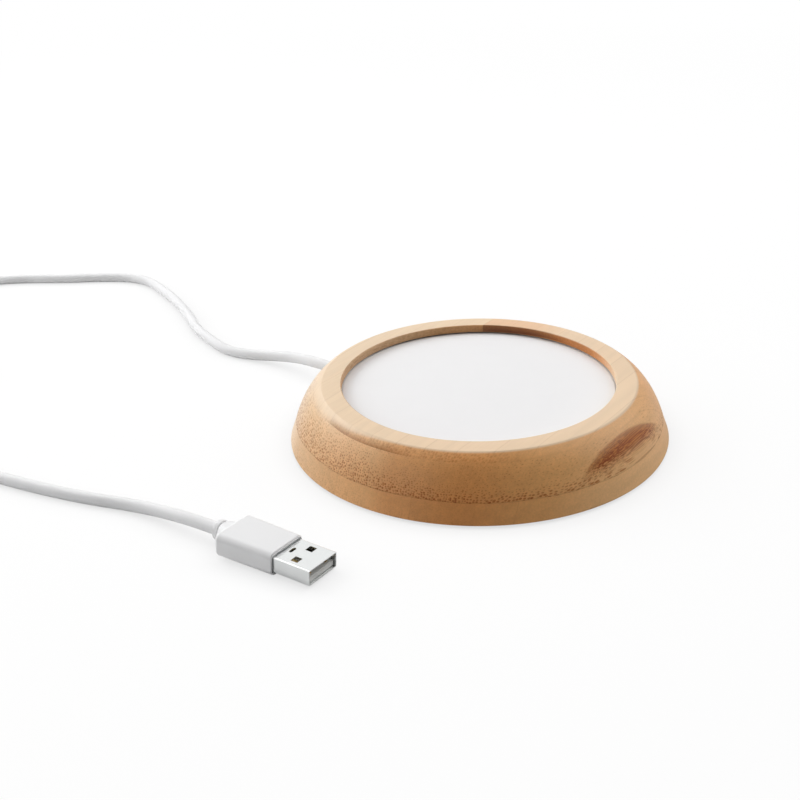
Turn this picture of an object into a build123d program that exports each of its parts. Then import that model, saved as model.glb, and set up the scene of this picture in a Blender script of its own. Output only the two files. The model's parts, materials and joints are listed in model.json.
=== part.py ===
from build123d import *
import os
from math import cos, pi, radians, sin, tan

# Electric mug warmer: a turned bamboo ring that holds a coated heating plate, fed by a low-voltage cord.
# Millimetres, +Z up. The origin is on the table, under the centre of the round body. -Y is the front.

# ---- round body ----
FOOT_LIFT = 0.8  # the feet hold the body this far off the table
BODY_TOP = 18.8  # height of the flat top ring
BASE_R = 59.75  # widest radius, just above the bottom edge
BAND_TOP = (58.28, 4.75)  # the tapered lower band ends here, and the rounded shoulder starts
SHOULDER_PULL = (55.2, 15.0)  # pull point of the shoulder's curve
RIM_R = 49.0  # outer edge of the flat top ring
MOUTH_R = 42.8  # opening over the plate
LIP_LOW = 16.35  # underside of the lip that the plate is pushed against
PLATE_POCKET_R = 47.0
PLATE_POCKET_LOW = 12.4
CAVITY_R = 50.6
REBATE_R = 55.2
REBATE_TOP = 2.6  # the base cover fills the rebate up to here
BASE_EDGE = 0.45
MOUTH_EDGE = 0.2
DIAGONALS = (45, 135, 225, 315)  # directions of the feet and of the carrier's screws
QUARTERS = (0, 90, 180, 270)  # directions of the cover's screws
CARRIER_PILOT = (1.1, 15.7)  # radius and top of the pilot holes in the bamboo
COVER_PILOT = (1.2, 8.6)

# ---- heating plate and the stack under it, from the top down ----
PLATE_TOP = 15.95
PLATE_CROWN_R = 42.5  # the face that a mug stands on
PLATE_STEP = 0.25  # the rim round it is this much lower, and goes under the lip
PLATE_R = 46.4
PLATE_WALL = 1.2
SKIRT_LOW = 12.9
HEATER_R = 41.0
FILM = 0.15
FOIL = 0.10
PAD = 2.0
PRESSURE_WALL = 1.0
PRESSURE_R = 39.0
PRESSURE_RIM = 1.3
WASHER = 0.5
WASHER_R = 3.5
NUT = 2.4
NUT_FLATS = 5.5
STUD_CIRCLE_R = 30.0
STUD_R = 1.5
STUD_LOW = 7.9
STUD_ANGLES = (0, 120, 240)
STUD_TIP = 0.3
STUD_WELD_R = 2.2
STUD_CLEAR_R = 2.8  # cut-outs round the studs in the films and the pad
WIRE_SLOT = (10.5, 4.4)  # the wires pass the films and plates here
TRACK_RADII = (38.5, 35.0, 24.0, 20.0, 16.0, 12.0, 8.0)
TRACK_W = 2.2
TRACK_GAP = 10.0  # width of the gap that holds the track's two ends
SOLDER_PAD = (-32.5, 3.0)  # one pad at +y and one at -y
SOLDER_PAD_SIZE = (3.6, 3.0)

FILM_TOP_Z = PLATE_TOP - PLATE_WALL
FOIL_Z = FILM_TOP_Z - FILM
FILM_LOW_Z = FOIL_Z - FOIL
PAD_Z = FILM_LOW_Z - FILM
PRESSURE_Z = PAD_Z - PAD
WASHER_Z = PRESSURE_Z - PRESSURE_WALL
NUT_Z = WASHER_Z - WASHER

# ---- thermal cut-out, strapped under the pressure plate ----
CUTOUT = (14.0, 6.0, 3.6)
STRAP_WALL = 0.5
STRAP_REACH = 8.4
STRAP_W = 6.0
STRAP_SCREW_Y = 6.2
STRAP_SCREW = (1.0, 1.9, 1.2)  # screws: radius of the shank, radius and height of the head
PIN_R = 0.6
PIN_REACH = 10.0
PIN_Z = WASHER_Z - 1.8

# ---- carrier, cover and feet ----
CARRIER_R = 50.3
CARRIER_LOW = 10.8
CARRIER_IN_R = 43.5
COLLAR_IN_R = 45.0  # the collar that carries the plate's skirt
CARRIER_SCREW_R = 48.5
CARRIER_SCREW = (1.1, 1.9, 1.3)
COVER_R = 55.0
COVER_EDGE = 0.4
COVER_RIB_TOP = 5.0
COVER_RIB_WALL = 1.2
COVER_HUB_R = 14.0
COVER_SPIGOT = (49.2, 4.0)  # inner radius and top of the ring that locates the cover
COVER_SCREW_R = 52.1
COVER_SCREW = (1.2, 2.2, 1.0)
FOOT_CIRCLE_R = 45.0
FOOT_R = 5.0
FOOT_SEAT = 0.6

# ---- cord ----
CORD_R = 1.9
CORD_Z = 1.95  # centre of a cord that lies on the table
EXIT_ANGLE = 144.0  # degrees round from +X, at the back left
EXIT_Z = 6.2
CORD_HOLE_R = 2.6
BUSH_TIP = 62.5  # distance of the bush's tip from the body's axis
TAIL_START = 37.5
CLAMP_X = 42.0  # the clamp bar's distance from the axis
CLAMP_SIZE = (5.0, 18.0)
CLAMP_BAR = (6.6, 9.2)  # bottom and top of the bar
SADDLE_TOP = 5.8
CLAMP_SCREW_Y = 6.0
CLAMP_SCREW = (1.25, 2.2, 1.2)
CLAMP_SCREW_LOW = 3.4

# The cord's route over the table, from the bush to the coil: it leaves level, comes down on the table,
# bends back in an S and runs off to the left.
OUTWARD = [
    (-50.56, 36.74, 6.2), (-56.63, 41.14, 6.2), (-64.2, 48.4, 4.9), (-74.0, 54.6, 2.9),
    (-84.5, 58.2, CORD_Z), (-92.5, 62.4, CORD_Z), (-99.5, 71.5, CORD_Z), (-107.0, 82.0, CORD_Z),
    (-113.5, 97.5, CORD_Z), (-121.5, 112.5, CORD_Z),
    (-130.5, 126.0, CORD_Z), (-138.0, 136.0, CORD_Z), (-148.0, 141.5, CORD_Z), (-161.0, 142.2, CORD_Z),
    (-177.0, 141.0, CORD_Z), (-194.0, 141.8, CORD_Z), (-210.0, 139.5, CORD_Z), (-224.0, 134.0, CORD_Z),
    (-234.5, 124.0, CORD_Z), (-240.5, 110.5, CORD_Z), (-240.5, 96.5, CORD_Z), (-236.5, 85.0, CORD_Z),
    (-230.4, 76.0, CORD_Z), (-226.9, 66.0, CORD_Z), (-226.9, 54.0, CORD_Z),
]
# From the coil to the plug: down off the coil's upper layer and across the table.
INWARD = [
    (-208.0, 13.46, 5.75), (-198.8, 5.75, 5.75), (-189.6, -1.8, 4.7), (-180.2, -9.8, 3.0),
    (-170.0, -17.2, CORD_Z), (-158.3, -25.5, CORD_Z), (-144.5, -33.0, CORD_Z), (-130.0, -39.4, CORD_Z),
    (-114.6, -45.2, CORD_Z), (-101.0, -48.9, CORD_Z), (-89.8, -54.4, 2.95),
]
COIL_CENTRE = (-204.0, 40.0)
COIL_R = 21.0  # middle of the turns
COIL_SIDE = 2 * 2 * CORD_R  # the bundle is two turns wide and two high
COIL_TURNS = 3 + 50 / 360
STUB = 14.0  # length of the straight cord at each end of the coil's solid
TIE_ANGLE = 80.0
TIE_ARC = 22.0
TIE_WALL = 0.8

# ---- plug, in its own frame: +X along the nose, origin where the metal shell leaves the moulding ----
PLUG_PLACE = (-50.6, -78.4, 3.68)
PLUG_YAW = -30.2
PLUG_TILT = 1.9  # nose down
PLUG_ROLL = -2.6  # the twist of the cord lifts the near side a little
SHELL = (12.0, 4.5)  # width and height of the standard shell
SHELL_OUT = 11.75
SHELL_IN = 7.0
SHELL_WALL = 0.3
SHELL_FOLD = 0.4  # outer radius of the folds
WINDOW = (2.2, 2.4)
WINDOW_AT = (5.6, 3.15)
LATCH_AT = 1.9
MOULD_LENGTH = 19.0
MOULD_HALF_W = (6.8, 7.35)  # half width at the front and at the rear
MOULD_H = 7.0
MOULD_EDGE = 2.0  # radius of the four long edges
MOULD_GAP = 0.4  # sunk gap between the moulding's front edge and the shell
COLLAR_END = 23.6
RING_LENGTH = 1.7
RING_R = 2.95
INNER_MOULD_END = 14.0


def disc(radius, low, high):
    return Pos(0, 0, (low + high) / 2) * Cylinder(radius, high - low)


def ring(inner, outer, low, high):
    return disc(outer, low, high) - disc(inner, low - 1, high + 1)


def turned(points):
    """Solid of revolution about Z from (radius, height) points."""
    return revolve(Plane.XZ * make_face(Polyline(*points, close=True)), Axis.Z)


def round_the_axis(radius, angles):
    """Places on a circle about Z, one for each angle, with X pointing outwards."""
    return [Rot(0, 0, angle) * Pos(radius, 0, 0) for angle in angles]


def joined(shapes):
    """One compound of separate solids, such as a set of screws."""
    return Compound(children=[shape for shape in shapes])


def cross_slot(length, width, height):
    """Cutter for a screw's cross recess; half of its height is in the head."""
    return Box(length, width, height) + Box(width, length, height)


def bend_radii(points):
    """Largest arc at each corner of a route: 0.45 of its shorter run over the tangent of half the turn."""
    nodes = [Vector(*point) for point in points]
    radii = []
    for before, here, after in zip(nodes, nodes[1:], nodes[2:]):
        turn = (here - before).get_angle(after - here)
        shorter = min((here - before).length, (after - here).length)
        radii.append(0.45 * shorter / tan(radians(turn) / 2))
    return radii


def tube(name, points, radius):
    """Round tube along straight runs joined by tangent arcs."""
    radii = bend_radii(points)
    path = FilletPolyline(*points, radius=radii)
    solid = sweep(Plane(path @ 0, z_dir=path % 0) * Circle(radius), path=path)
    share = solid.volume / (pi * radius**2 * path.length)
    print(f"{name}: length {path.length:.1f}, tightest arc {min(radii):.1f}, volume {share:.4f}")
    return solid


def at_exit(shape):
    """Turns a shape made along +X from the body's axis to the cord's exit."""
    return Rot(0, 0, EXIT_ANGLE) * Pos(0, 0, EXIT_Z) * shape


# ---- body ----
def bamboo_housing():
    """Ring turned from laminated bamboo: flat top, rounded shoulder, tapered band, stepped bore."""
    bottom = FOOT_LIFT
    inside = Polyline(
        (RIM_R, BODY_TOP),
        (MOUTH_R + MOUTH_EDGE, BODY_TOP),
        (MOUTH_R, BODY_TOP - MOUTH_EDGE),
        (MOUTH_R, LIP_LOW),
        (PLATE_POCKET_R, LIP_LOW),
        (PLATE_POCKET_R, PLATE_POCKET_LOW),
        (CAVITY_R, PLATE_POCKET_LOW),
        (CAVITY_R, REBATE_TOP),
        (REBATE_R, REBATE_TOP),
        (REBATE_R, bottom),
        (BASE_R - BASE_EDGE, bottom),
        (BASE_R, bottom + BASE_EDGE),
        BAND_TOP,
    )
    shoulder = Bezier(BAND_TOP, SHOULDER_PULL, (RIM_R, BODY_TOP))
    body = revolve(Plane.XZ * make_face(inside + shoulder), Axis.Z)
    body -= at_exit(Pos(55, 0, 0) * Rot(0, 90, 0) * Cylinder(CORD_HOLE_R, 20))
    radius, top = CARRIER_PILOT
    for place in round_the_axis(CARRIER_SCREW_R, DIAGONALS):
        body -= place * disc(radius, PLATE_POCKET_LOW - 1, top)
    radius, top = COVER_PILOT
    for place in round_the_axis(COVER_SCREW_R, QUARTERS):
        body -= place * disc(radius, REBATE_TOP - 1, top)
    return body


def plate_gasket():
    return ring(MOUTH_R + 0.8, PLATE_R - 0.2, PLATE_TOP - PLATE_STEP, LIP_LOW)


def heating_plate():
    """Shallow pressed pan: raised face, lower rim, turned-down skirt and three welded studs."""
    rim_top = PLATE_TOP - PLATE_STEP
    pan = turned(
        [
            (0, PLATE_TOP),
            (PLATE_CROWN_R, PLATE_TOP),
            (PLATE_CROWN_R, rim_top),
            (PLATE_R, rim_top),
            (PLATE_R, SKIRT_LOW),
            (PLATE_R - PLATE_WALL, SKIRT_LOW),
            (PLATE_R - PLATE_WALL, FILM_TOP_Z),
            (0, FILM_TOP_Z),
        ]
    )
    rounds = pan.edges().filter_by(GeomType.CIRCLE)
    pan = fillet(rounds.filter_by_position(Axis.Z, rim_top - 0.01, PLATE_TOP + 0.01), 0.1)
    for place in round_the_axis(STUD_CIRCLE_R, STUD_ANGLES):
        pan += place * disc(STUD_R, STUD_LOW + STUD_TIP, FILM_TOP_Z + 0.2)
        pan += place * Pos(0, 0, STUD_LOW + STUD_TIP / 2) * Cone(STUD_R - STUD_TIP, STUD_R, STUD_TIP)
        pan += place * disc(STUD_WELD_R, FILM_TOP_Z - 0.3, FILM_TOP_Z + 0.2)
    return pan


def stud_holes(radius, low, high):
    hole = disc(radius, low - 1, high + 1)
    return joined(place * hole for place in round_the_axis(STUD_CIRCLE_R, STUD_ANGLES))


def wire_window(low, high):
    """Slot through which the two wires reach the solder pads."""
    x, _ = SOLDER_PAD
    return extrude(Pos(x, 0, low - 1) * SlotOverall(*WIRE_SLOT, rotation=90), high - low + 2)


def heater_film(low, with_window):
    film = disc(HEATER_R, low, low + FILM) - stud_holes(STUD_CLEAR_R, low, low + FILM)
    return film - wire_window(low, low + FILM) if with_window else film


def heater_foil():
    """One etched track: concentric arcs joined in turn above and below a gap, a solder pad at each end."""
    half_gap = TRACK_GAP / 2
    link_y = half_gap + TRACK_W / 2
    reach = [(radius**2 - link_y**2) ** 0.5 for radius in TRACK_RADII]
    gap = Pos(-30, 0) * Rectangle(60, TRACK_GAP)
    track = Sketch()
    for radius in TRACK_RADII:
        track += Circle(radius + TRACK_W / 2) - Circle(radius - TRACK_W / 2) - gap
    for index, (outer, inner) in enumerate(zip(reach, reach[1:])):
        side = 1 if index % 2 else -1
        track += Pos(-(outer + inner) / 2, side * link_y) * Rectangle(outer - inner, TRACK_W)
    pad_x, pad_y = SOLDER_PAD
    start_x = -reach[0]
    track += Pos(start_x, (pad_y + link_y) / 2) * Rectangle(TRACK_W, link_y - pad_y + TRACK_W)
    track += Pos((start_x + pad_x) / 2, pad_y) * Rectangle(pad_x - start_x, TRACK_W)
    end_x = -reach[-1]
    track += Pos(end_x, -(pad_y + link_y) / 2) * Rectangle(TRACK_W, link_y - pad_y + TRACK_W)
    track += Pos((end_x + pad_x) / 2, -pad_y) * Rectangle(end_x - pad_x, TRACK_W)
    for side in (1, -1):
        track += Pos(pad_x, side * pad_y) * Rectangle(*SOLDER_PAD_SIZE)
    return extrude(Pos(0, 0, FILM_LOW_Z) * track, FOIL)


def insulation_pad():
    pad = disc(HEATER_R, PRESSURE_Z, PAD_Z) - stud_holes(STUD_CLEAR_R, PRESSURE_Z, PAD_Z)
    return pad - wire_window(PRESSURE_Z, PAD_Z)


def pressure_plate():
    """Pressed steel disc with a turned-down rim that stiffens it."""
    rim_low = WASHER_Z - PRESSURE_RIM
    plate = turned(
        [
            (0, PRESSURE_Z),
            (PRESSURE_R, PRESSURE_Z),
            (PRESSURE_R, rim_low),
            (PRESSURE_R - PRESSURE_WALL, rim_low),
            (PRESSURE_R - PRESSURE_WALL, WASHER_Z),
            (0, WASHER_Z),
        ]
    )
    plate -= stud_holes(STUD_R + 0.2, WASHER_Z, PRESSURE_Z)
    plate -= wire_window(WASHER_Z, PRESSURE_Z)
    for side in (1, -1):
        plate -= Pos(0, side * STRAP_SCREW_Y) * disc(STRAP_SCREW[0], WASHER_Z - 1, PRESSURE_Z + 1)
    return plate


def clamp_washers():
    washer = ring(STUD_R + 0.1, WASHER_R, NUT_Z, WASHER_Z)
    return joined(place * washer for place in round_the_axis(STUD_CIRCLE_R, STUD_ANGLES))


def clamp_nuts():
    nut = extrude(Pos(0, 0, NUT_Z - NUT) * RegularPolygon(NUT_FLATS / 2, 6, major_radius=False), NUT)
    nut -= disc(STUD_R, NUT_Z - NUT - 1, NUT_Z + 1)
    return joined(place * nut for place in round_the_axis(STUD_CIRCLE_R, STUD_ANGLES))


# ---- carrier ----
def plate_carrier():
    """Moulded ring: its flange screws up to the bamboo's shoulder, its collar carries the plate's skirt."""
    body = turned(
        [
            (CARRIER_IN_R, CARRIER_LOW),
            (CARRIER_R, CARRIER_LOW),
            (CARRIER_R, PLATE_POCKET_LOW),
            (PLATE_POCKET_R - 0.2, PLATE_POCKET_LOW),
            (PLATE_POCKET_R - 0.2, SKIRT_LOW),
            (COLLAR_IN_R, SKIRT_LOW),
            (COLLAR_IN_R, PLATE_POCKET_LOW),
            (CARRIER_IN_R, PLATE_POCKET_LOW),
        ]
    )
    for place in round_the_axis(CARRIER_SCREW_R, DIAGONALS):
        body -= place * disc(CARRIER_SCREW[0] + 0.1, CARRIER_LOW - 1, PLATE_POCKET_LOW + 0.01)
    near, far, low = CARRIER_IN_R + 0.1, CARRIER_IN_R + 3.1, CARRIER_LOW - 1.4
    gusset = [(near, CARRIER_LOW), (far, CARRIER_LOW), (far, low), (far - 1, low)]
    web = extrude(Plane.XZ * make_face(Polyline(*gusset, close=True)), 0.5, both=True)
    for step in range(12):
        body += Rot(0, 0, EXIT_ANGLE + 30 * step) * web
    return body


def carrier_screws():
    shank, head, height = CARRIER_SCREW
    screw = disc(head, CARRIER_LOW - height, CARRIER_LOW) + disc(shank, CARRIER_LOW - 0.1, 14.9)
    screw += Pos(0, 0, 15.25) * Cone(shank, 0.3, 0.7)
    screw -= Pos(0, 0, CARRIER_LOW - height) * cross_slot(2.2, 0.5, 1.0)
    return joined(place * screw for place in round_the_axis(CARRIER_SCREW_R, DIAGONALS))


# ---- thermal cut-out ----
def thermal_cutout():
    """Potted cut-out with a pin at each end, its flat face against the pressure plate."""
    length, width, height = CUTOUT
    body = Pos(0, 0, WASHER_Z - height / 2) * Box(length, width, height)
    body = fillet(body.edges().filter_by(Axis.Z), 0.8)
    return body + Pos(0, 0, PIN_Z) * Rot(0, 90, 0) * Cylinder(PIN_R, 2 * PIN_REACH)


def cutout_strap():
    """Sheet strap bent over the cut-out, a foot on each side."""
    _, width, height = CUTOUT
    leg = width / 2 + 0.05
    crown = WASHER_Z - height
    line = [
        (-STRAP_REACH, WASHER_Z),
        (-leg, WASHER_Z),
        (-leg, crown),
        (leg, crown),
        (leg, WASHER_Z),
        (STRAP_REACH, WASHER_Z),
    ]
    under = [
        (STRAP_REACH, WASHER_Z - STRAP_WALL),
        (leg + STRAP_WALL, WASHER_Z - STRAP_WALL),
        (leg + STRAP_WALL, crown - STRAP_WALL),
        (-leg - STRAP_WALL, crown - STRAP_WALL),
        (-leg - STRAP_WALL, WASHER_Z - STRAP_WALL),
        (-STRAP_REACH, WASHER_Z - STRAP_WALL),
    ]
    strap = extrude(Plane.YZ * make_face(Polyline(*line, *under, close=True)), STRAP_W / 2, both=True)
    for side in (1, -1):
        strap -= Pos(0, side * STRAP_SCREW_Y) * disc(STRAP_SCREW[0], WASHER_Z - 2, WASHER_Z + 1)
    return strap


def strap_screws():
    shank, head, height = STRAP_SCREW
    seat = WASHER_Z - STRAP_WALL
    screw = disc(head, seat - height, seat) + disc(shank, seat - 0.1, PRESSURE_Z - 0.1)
    return joined(Pos(0, side * STRAP_SCREW_Y) * screw for side in (1, -1))


# ---- inner wires ----
def tail_point(inward, aside):
    """A point on the face where the cord's jacket ends, moved inwards along the cord and sideways."""
    angle = radians(EXIT_ANGLE)
    reach = TAIL_START - inward
    return (reach * cos(angle) - aside * sin(angle), reach * sin(angle) + aside * cos(angle), EXIT_Z)


def lead_live():
    pin_end = (-PIN_REACH, 0, PIN_Z)
    route = [
        tail_point(0, -0.85),
        tail_point(6, -0.85),
        (-19.0, 10.5, 6.4),
        (-19.0, 2.5, 8.2),
        (-14.5, 0, PIN_Z),
        pin_end,
    ]
    return tube("lead_live", route, PIN_R)


def lead_return():
    x, y = SOLDER_PAD
    route = [
        tail_point(0, 0.85),
        tail_point(4, 0.85),
        (-31.0, 12.5, 6.3),
        (x, y + 0.3, 8.0),
        (x, y, FILM_LOW_Z),
    ]
    return tube("lead_return", route, PIN_R)


def lead_link():
    x, y = SOLDER_PAD
    route = [
        (PIN_REACH, 0, PIN_Z),
        (14.5, 0, PIN_Z),
        (18.0, -5.5, 8.2),
        (12.0, -13.0, 6.6),
        (-4.0, -15.0, 6.2),
        (-21.0, -11.0, 6.2),
        (x, -y - 0.3, 8.0),
        (x, -y, FILM_LOW_Z),
    ]
    return tube("lead_link", route, PIN_R)


def heat_sleeves():
    sleeve = Rot(0, 90, 0) * (Cylinder(0.9, 3.6) - Cylinder(PIN_R, 4))
    return joined(Pos(side * (PIN_REACH + 0.2), 0, PIN_Z) * sleeve for side in (1, -1))


# ---- cord entry ----
def cord_bush():
    """Flanged bush with a short ribbed boot, turned about the cord."""
    half = [
        (48.9, CORD_R),
        (48.9, 3.4),
        (50.35, 3.4),
        (50.35, CORD_HOLE_R),
        (58.3, CORD_HOLE_R),
        (59.2, 2.5),
        (59.2, 2.15),
        (59.8, 2.15),
        (59.8, 2.45),
        (60.7, 2.4),
        (60.7, 2.1),
        (61.3, 2.1),
        (61.3, 2.35),
        (62.2, 2.3),
        (BUSH_TIP, 2.1),
        (BUSH_TIP, CORD_R),
    ]
    return at_exit(revolve(make_face(Polyline(*half, close=True)), Axis.X))


def cord_tail():
    length = BUSH_TIP - TAIL_START
    return at_exit(Pos(TAIL_START + length / 2, 0, 0) * Rot(0, 90, 0) * Cylinder(CORD_R, length))


def clamp_block(low, high):
    block = Pos(CLAMP_X, 0, (low + high) / 2) * Box(*CLAMP_SIZE, high - low)
    block = fillet(block.edges().filter_by(Axis.Z), 1.2)
    return Rot(0, 0, EXIT_ANGLE) * block - at_exit(Pos(CLAMP_X, 0, 0) * Rot(0, 90, 0) * Cylinder(CORD_R, 12))


def clamp_screw_places():
    return [Rot(0, 0, EXIT_ANGLE) * Pos(CLAMP_X, side * CLAMP_SCREW_Y, 0) for side in (1, -1)]


def cord_clamp():
    low, high = CLAMP_BAR
    bar = clamp_block(low, high)
    for place in clamp_screw_places():
        bar -= place * disc(CLAMP_SCREW[0] + 0.1, low - 1, high + 1)
    return bar


def clamp_screws():
    shank, head, height = CLAMP_SCREW
    seat = CLAMP_BAR[1]
    screw = disc(head, seat, seat + height) + disc(shank, CLAMP_SCREW_LOW, seat + 0.1)
    screw -= Pos(0, 0, seat + height) * cross_slot(2.6, 0.6, 1.2)
    return joined(place * screw for place in clamp_screw_places())


# ---- underside ----
def base_cover():
    """Moulded disc: locating spigot, ribs, cord saddle, countersunk holes and sunk foot seats."""
    cover = turned(
        [
            (0, FOOT_LIFT),
            (COVER_R - COVER_EDGE, FOOT_LIFT),
            (COVER_R, FOOT_LIFT + COVER_EDGE),
            (COVER_R, REBATE_TOP),
            (0, REBATE_TOP),
        ]
    )
    spigot_r, spigot_top = COVER_SPIGOT
    inner_ribs = ring(spigot_r, CAVITY_R - 0.2, REBATE_TOP - 0.1, spigot_top)
    inner_ribs += ring(COVER_HUB_R - COVER_RIB_WALL, COVER_HUB_R, REBATE_TOP - 0.1, COVER_RIB_TOP)
    rib_height = COVER_RIB_TOP - REBATE_TOP + 0.1
    rib = Pos(31, 0, COVER_RIB_TOP - rib_height / 2) * Box(36, COVER_RIB_WALL, rib_height)
    for angle in range(22, 382, 45):
        inner_ribs += Rot(0, 0, angle) * rib
    bush_gap = Rot(0, 0, EXIT_ANGLE) * Pos(50, 0, 4) * Box(6, 9, 6)
    cover += inner_ribs - (bush_gap - disc(CAVITY_R + 9, 0, REBATE_TOP))
    cover += clamp_block(REBATE_TOP - 0.1, SADDLE_TOP)
    for place in clamp_screw_places():
        cover -= place * disc(CLAMP_SCREW[0], CLAMP_SCREW_LOW, SADDLE_TOP + 0.2)
    hole_r = COVER_SCREW[0] + 0.1
    for place in round_the_axis(COVER_SCREW_R, QUARTERS):
        cover -= place * (disc(hole_r, 0, 3) + Pos(0, 0, FOOT_LIFT + 0.6) * Cone(2.45, hole_r, 1.2))
    for place in round_the_axis(FOOT_CIRCLE_R, DIAGONALS):
        cover -= place * disc(FOOT_R + 0.15, 0, FOOT_LIFT + FOOT_SEAT)
    return cover


def cover_screws():
    shank, head, height = COVER_SCREW
    head_low = FOOT_LIFT + 0.1
    screw = Pos(0, 0, head_low + height / 2) * Cone(head, shank, height) + disc(shank, head_low + 0.9, 7.7)
    screw += Pos(0, 0, 8.0) * Cone(shank, 0.4, 0.6)
    screw -= Pos(0, 0, head_low) * cross_slot(2.4, 0.5, 1.0)
    return joined(place * screw for place in round_the_axis(COVER_SCREW_R, QUARTERS))


def rubber_foot(angle):
    pad = disc(FOOT_R, 0, FOOT_LIFT + FOOT_SEAT)
    pad = chamfer(pad.edges().filter_by(GeomType.CIRCLE).sort_by(Axis.Z)[0], 0.3)
    return Rot(0, 0, angle) * Pos(FOOT_CIRCLE_R, 0, 0) * pad


# ---- coil of the put-away length ----
def bundle(low, arc, start, grow=0.0):
    """The round-cornered bundle of turns, swept through an arc about the coil's centre."""
    side = COIL_SIDE + 2 * grow
    section = Plane.XZ * Pos(COIL_R, low + COIL_SIDE / 2) * RectangleRounded(side, side, CORD_R + grow)
    x, y = COIL_CENTRE
    return Pos(x, y, 0) * Rot(0, 0, start) * revolve(section, Axis.Z, revolution_arc=arc)


def cord_coil():
    """Outer shape of the turns. They ride up over the tie, and a short stub meets the cord at each end."""
    start = TIE_ANGLE - TIE_ARC / 2
    coil = bundle(TIE_WALL, TIE_ARC, start) + bundle(0, 360 - TIE_ARC, start + TIE_ARC)
    for ends in (OUTWARD[-1:-3:-1], INWARD[:2]):
        tip = Vector(*ends[0])
        along = (tip - Vector(*ends[1])).normalized()
        coil += extrude(Plane(tip, z_dir=along) * Circle(CORD_R), STUB)
    return coil


def cord_tie():
    """Strap round the bundle, with its loose end laid outwards."""
    start = TIE_ANGLE - TIE_ARC / 2
    strap = bundle(TIE_WALL, TIE_ARC, start, TIE_WALL) - bundle(TIE_WALL, TIE_ARC, start)
    x, y = COIL_CENTRE
    outer = COIL_R + COIL_SIDE / 2
    end = Plane.XZ * Pos(outer + 4.5, 6.0) * Rectangle(9.0, TIE_WALL)
    end = Pos(x, y, 0) * Rot(0, 0, start) * revolve(end, Axis.Z, revolution_arc=TIE_ARC)
    return strap + (end - bundle(TIE_WALL, TIE_ARC, start))


# ---- plug ----
def plug_place(shape):
    return Pos(*PLUG_PLACE) * Rot(0, 0, PLUG_YAW) * Rot(0, PLUG_TILT, 0) * Rot(PLUG_ROLL, 0, 0) * shape


def on_plug_axis(behind):
    """A point on the plug's axis, behind the front of the moulding."""
    yaw, tilt = radians(PLUG_YAW), radians(PLUG_TILT)
    x, y, z = PLUG_PLACE
    return (x - behind * cos(yaw) * cos(tilt), y - behind * sin(yaw) * cos(tilt), z + behind * sin(tilt))


def shell_block(width, height, start, end, corner):
    """Round-cornered bar along X."""
    bar = Pos((start + end) / 2, 0, 0) * Box(end - start, width, height)
    return fillet(bar.edges().filter_by(Axis.X), corner)


def plug_shell():
    """Folded sheet shell: open mouth, two windows in each broad face, a latch slot and the seam below."""
    width, height = SHELL
    shell = shell_block(width, height, -SHELL_IN, SHELL_OUT, SHELL_FOLD)
    inside = (width - 2 * SHELL_WALL, height - 2 * SHELL_WALL)
    shell -= shell_block(*inside, -SHELL_IN - 1, SHELL_OUT + 1, SHELL_FOLD - SHELL_WALL)
    x, y = WINDOW_AT
    for side in (1, -1):
        shell -= Pos(x, side * y, 0) * Box(WINDOW[0], WINDOW[1], height + 2)
    latch = extrude(SlotOverall(2.6, 1.0, rotation=90), SHELL_WALL * 2, both=True)
    shell -= Pos(LATCH_AT, 0, height / 2) * latch
    seam = Pos(SHELL_OUT / 2 - SHELL_IN / 2, 0, -height / 2) * Box(SHELL_OUT + SHELL_IN + 1, 0.1, 0.3)
    return shell - seam


def plug_tongue():
    """Insulator: a flat tongue in the lower half, and the block that closes the shell's rear."""
    floor = -SHELL[1] / 2 + SHELL_WALL
    tongue_top = -0.15
    half_w = SHELL[0] / 2 - SHELL_WALL - 0.3
    tongue = Pos(3.3, 0, (floor + tongue_top) / 2) * Box(15.6, 2 * half_w, tongue_top - floor)
    tongue = chamfer(tongue.edges().filter_by(Axis.Y).sort_by(Axis.X)[-1], 0.3)
    back = Pos(-SHELL_IN + 1.25, 0, 0) * Box(2.5, 2 * half_w, -2 * floor)
    return tongue + back


def plug_contacts():
    strips = []
    for y, end in ((-3.5, 10.2), (-1.0, 9.3), (1.0, 9.3), (3.5, 10.2)):
        start = -SHELL_IN + 2.5
        strips.append(Pos((start + end) / 2, y, -0.075) * Box(end - start, 1.1, 0.15))
    return joined(strips)


def plug_inner_mould():
    length = INNER_MOULD_END - SHELL_IN
    block = Pos(-SHELL_IN - length / 2, 0, 0) * Box(length, 10.6, 4.1)
    return fillet(block.edges().filter_by(Axis.X), 0.8)


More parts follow.
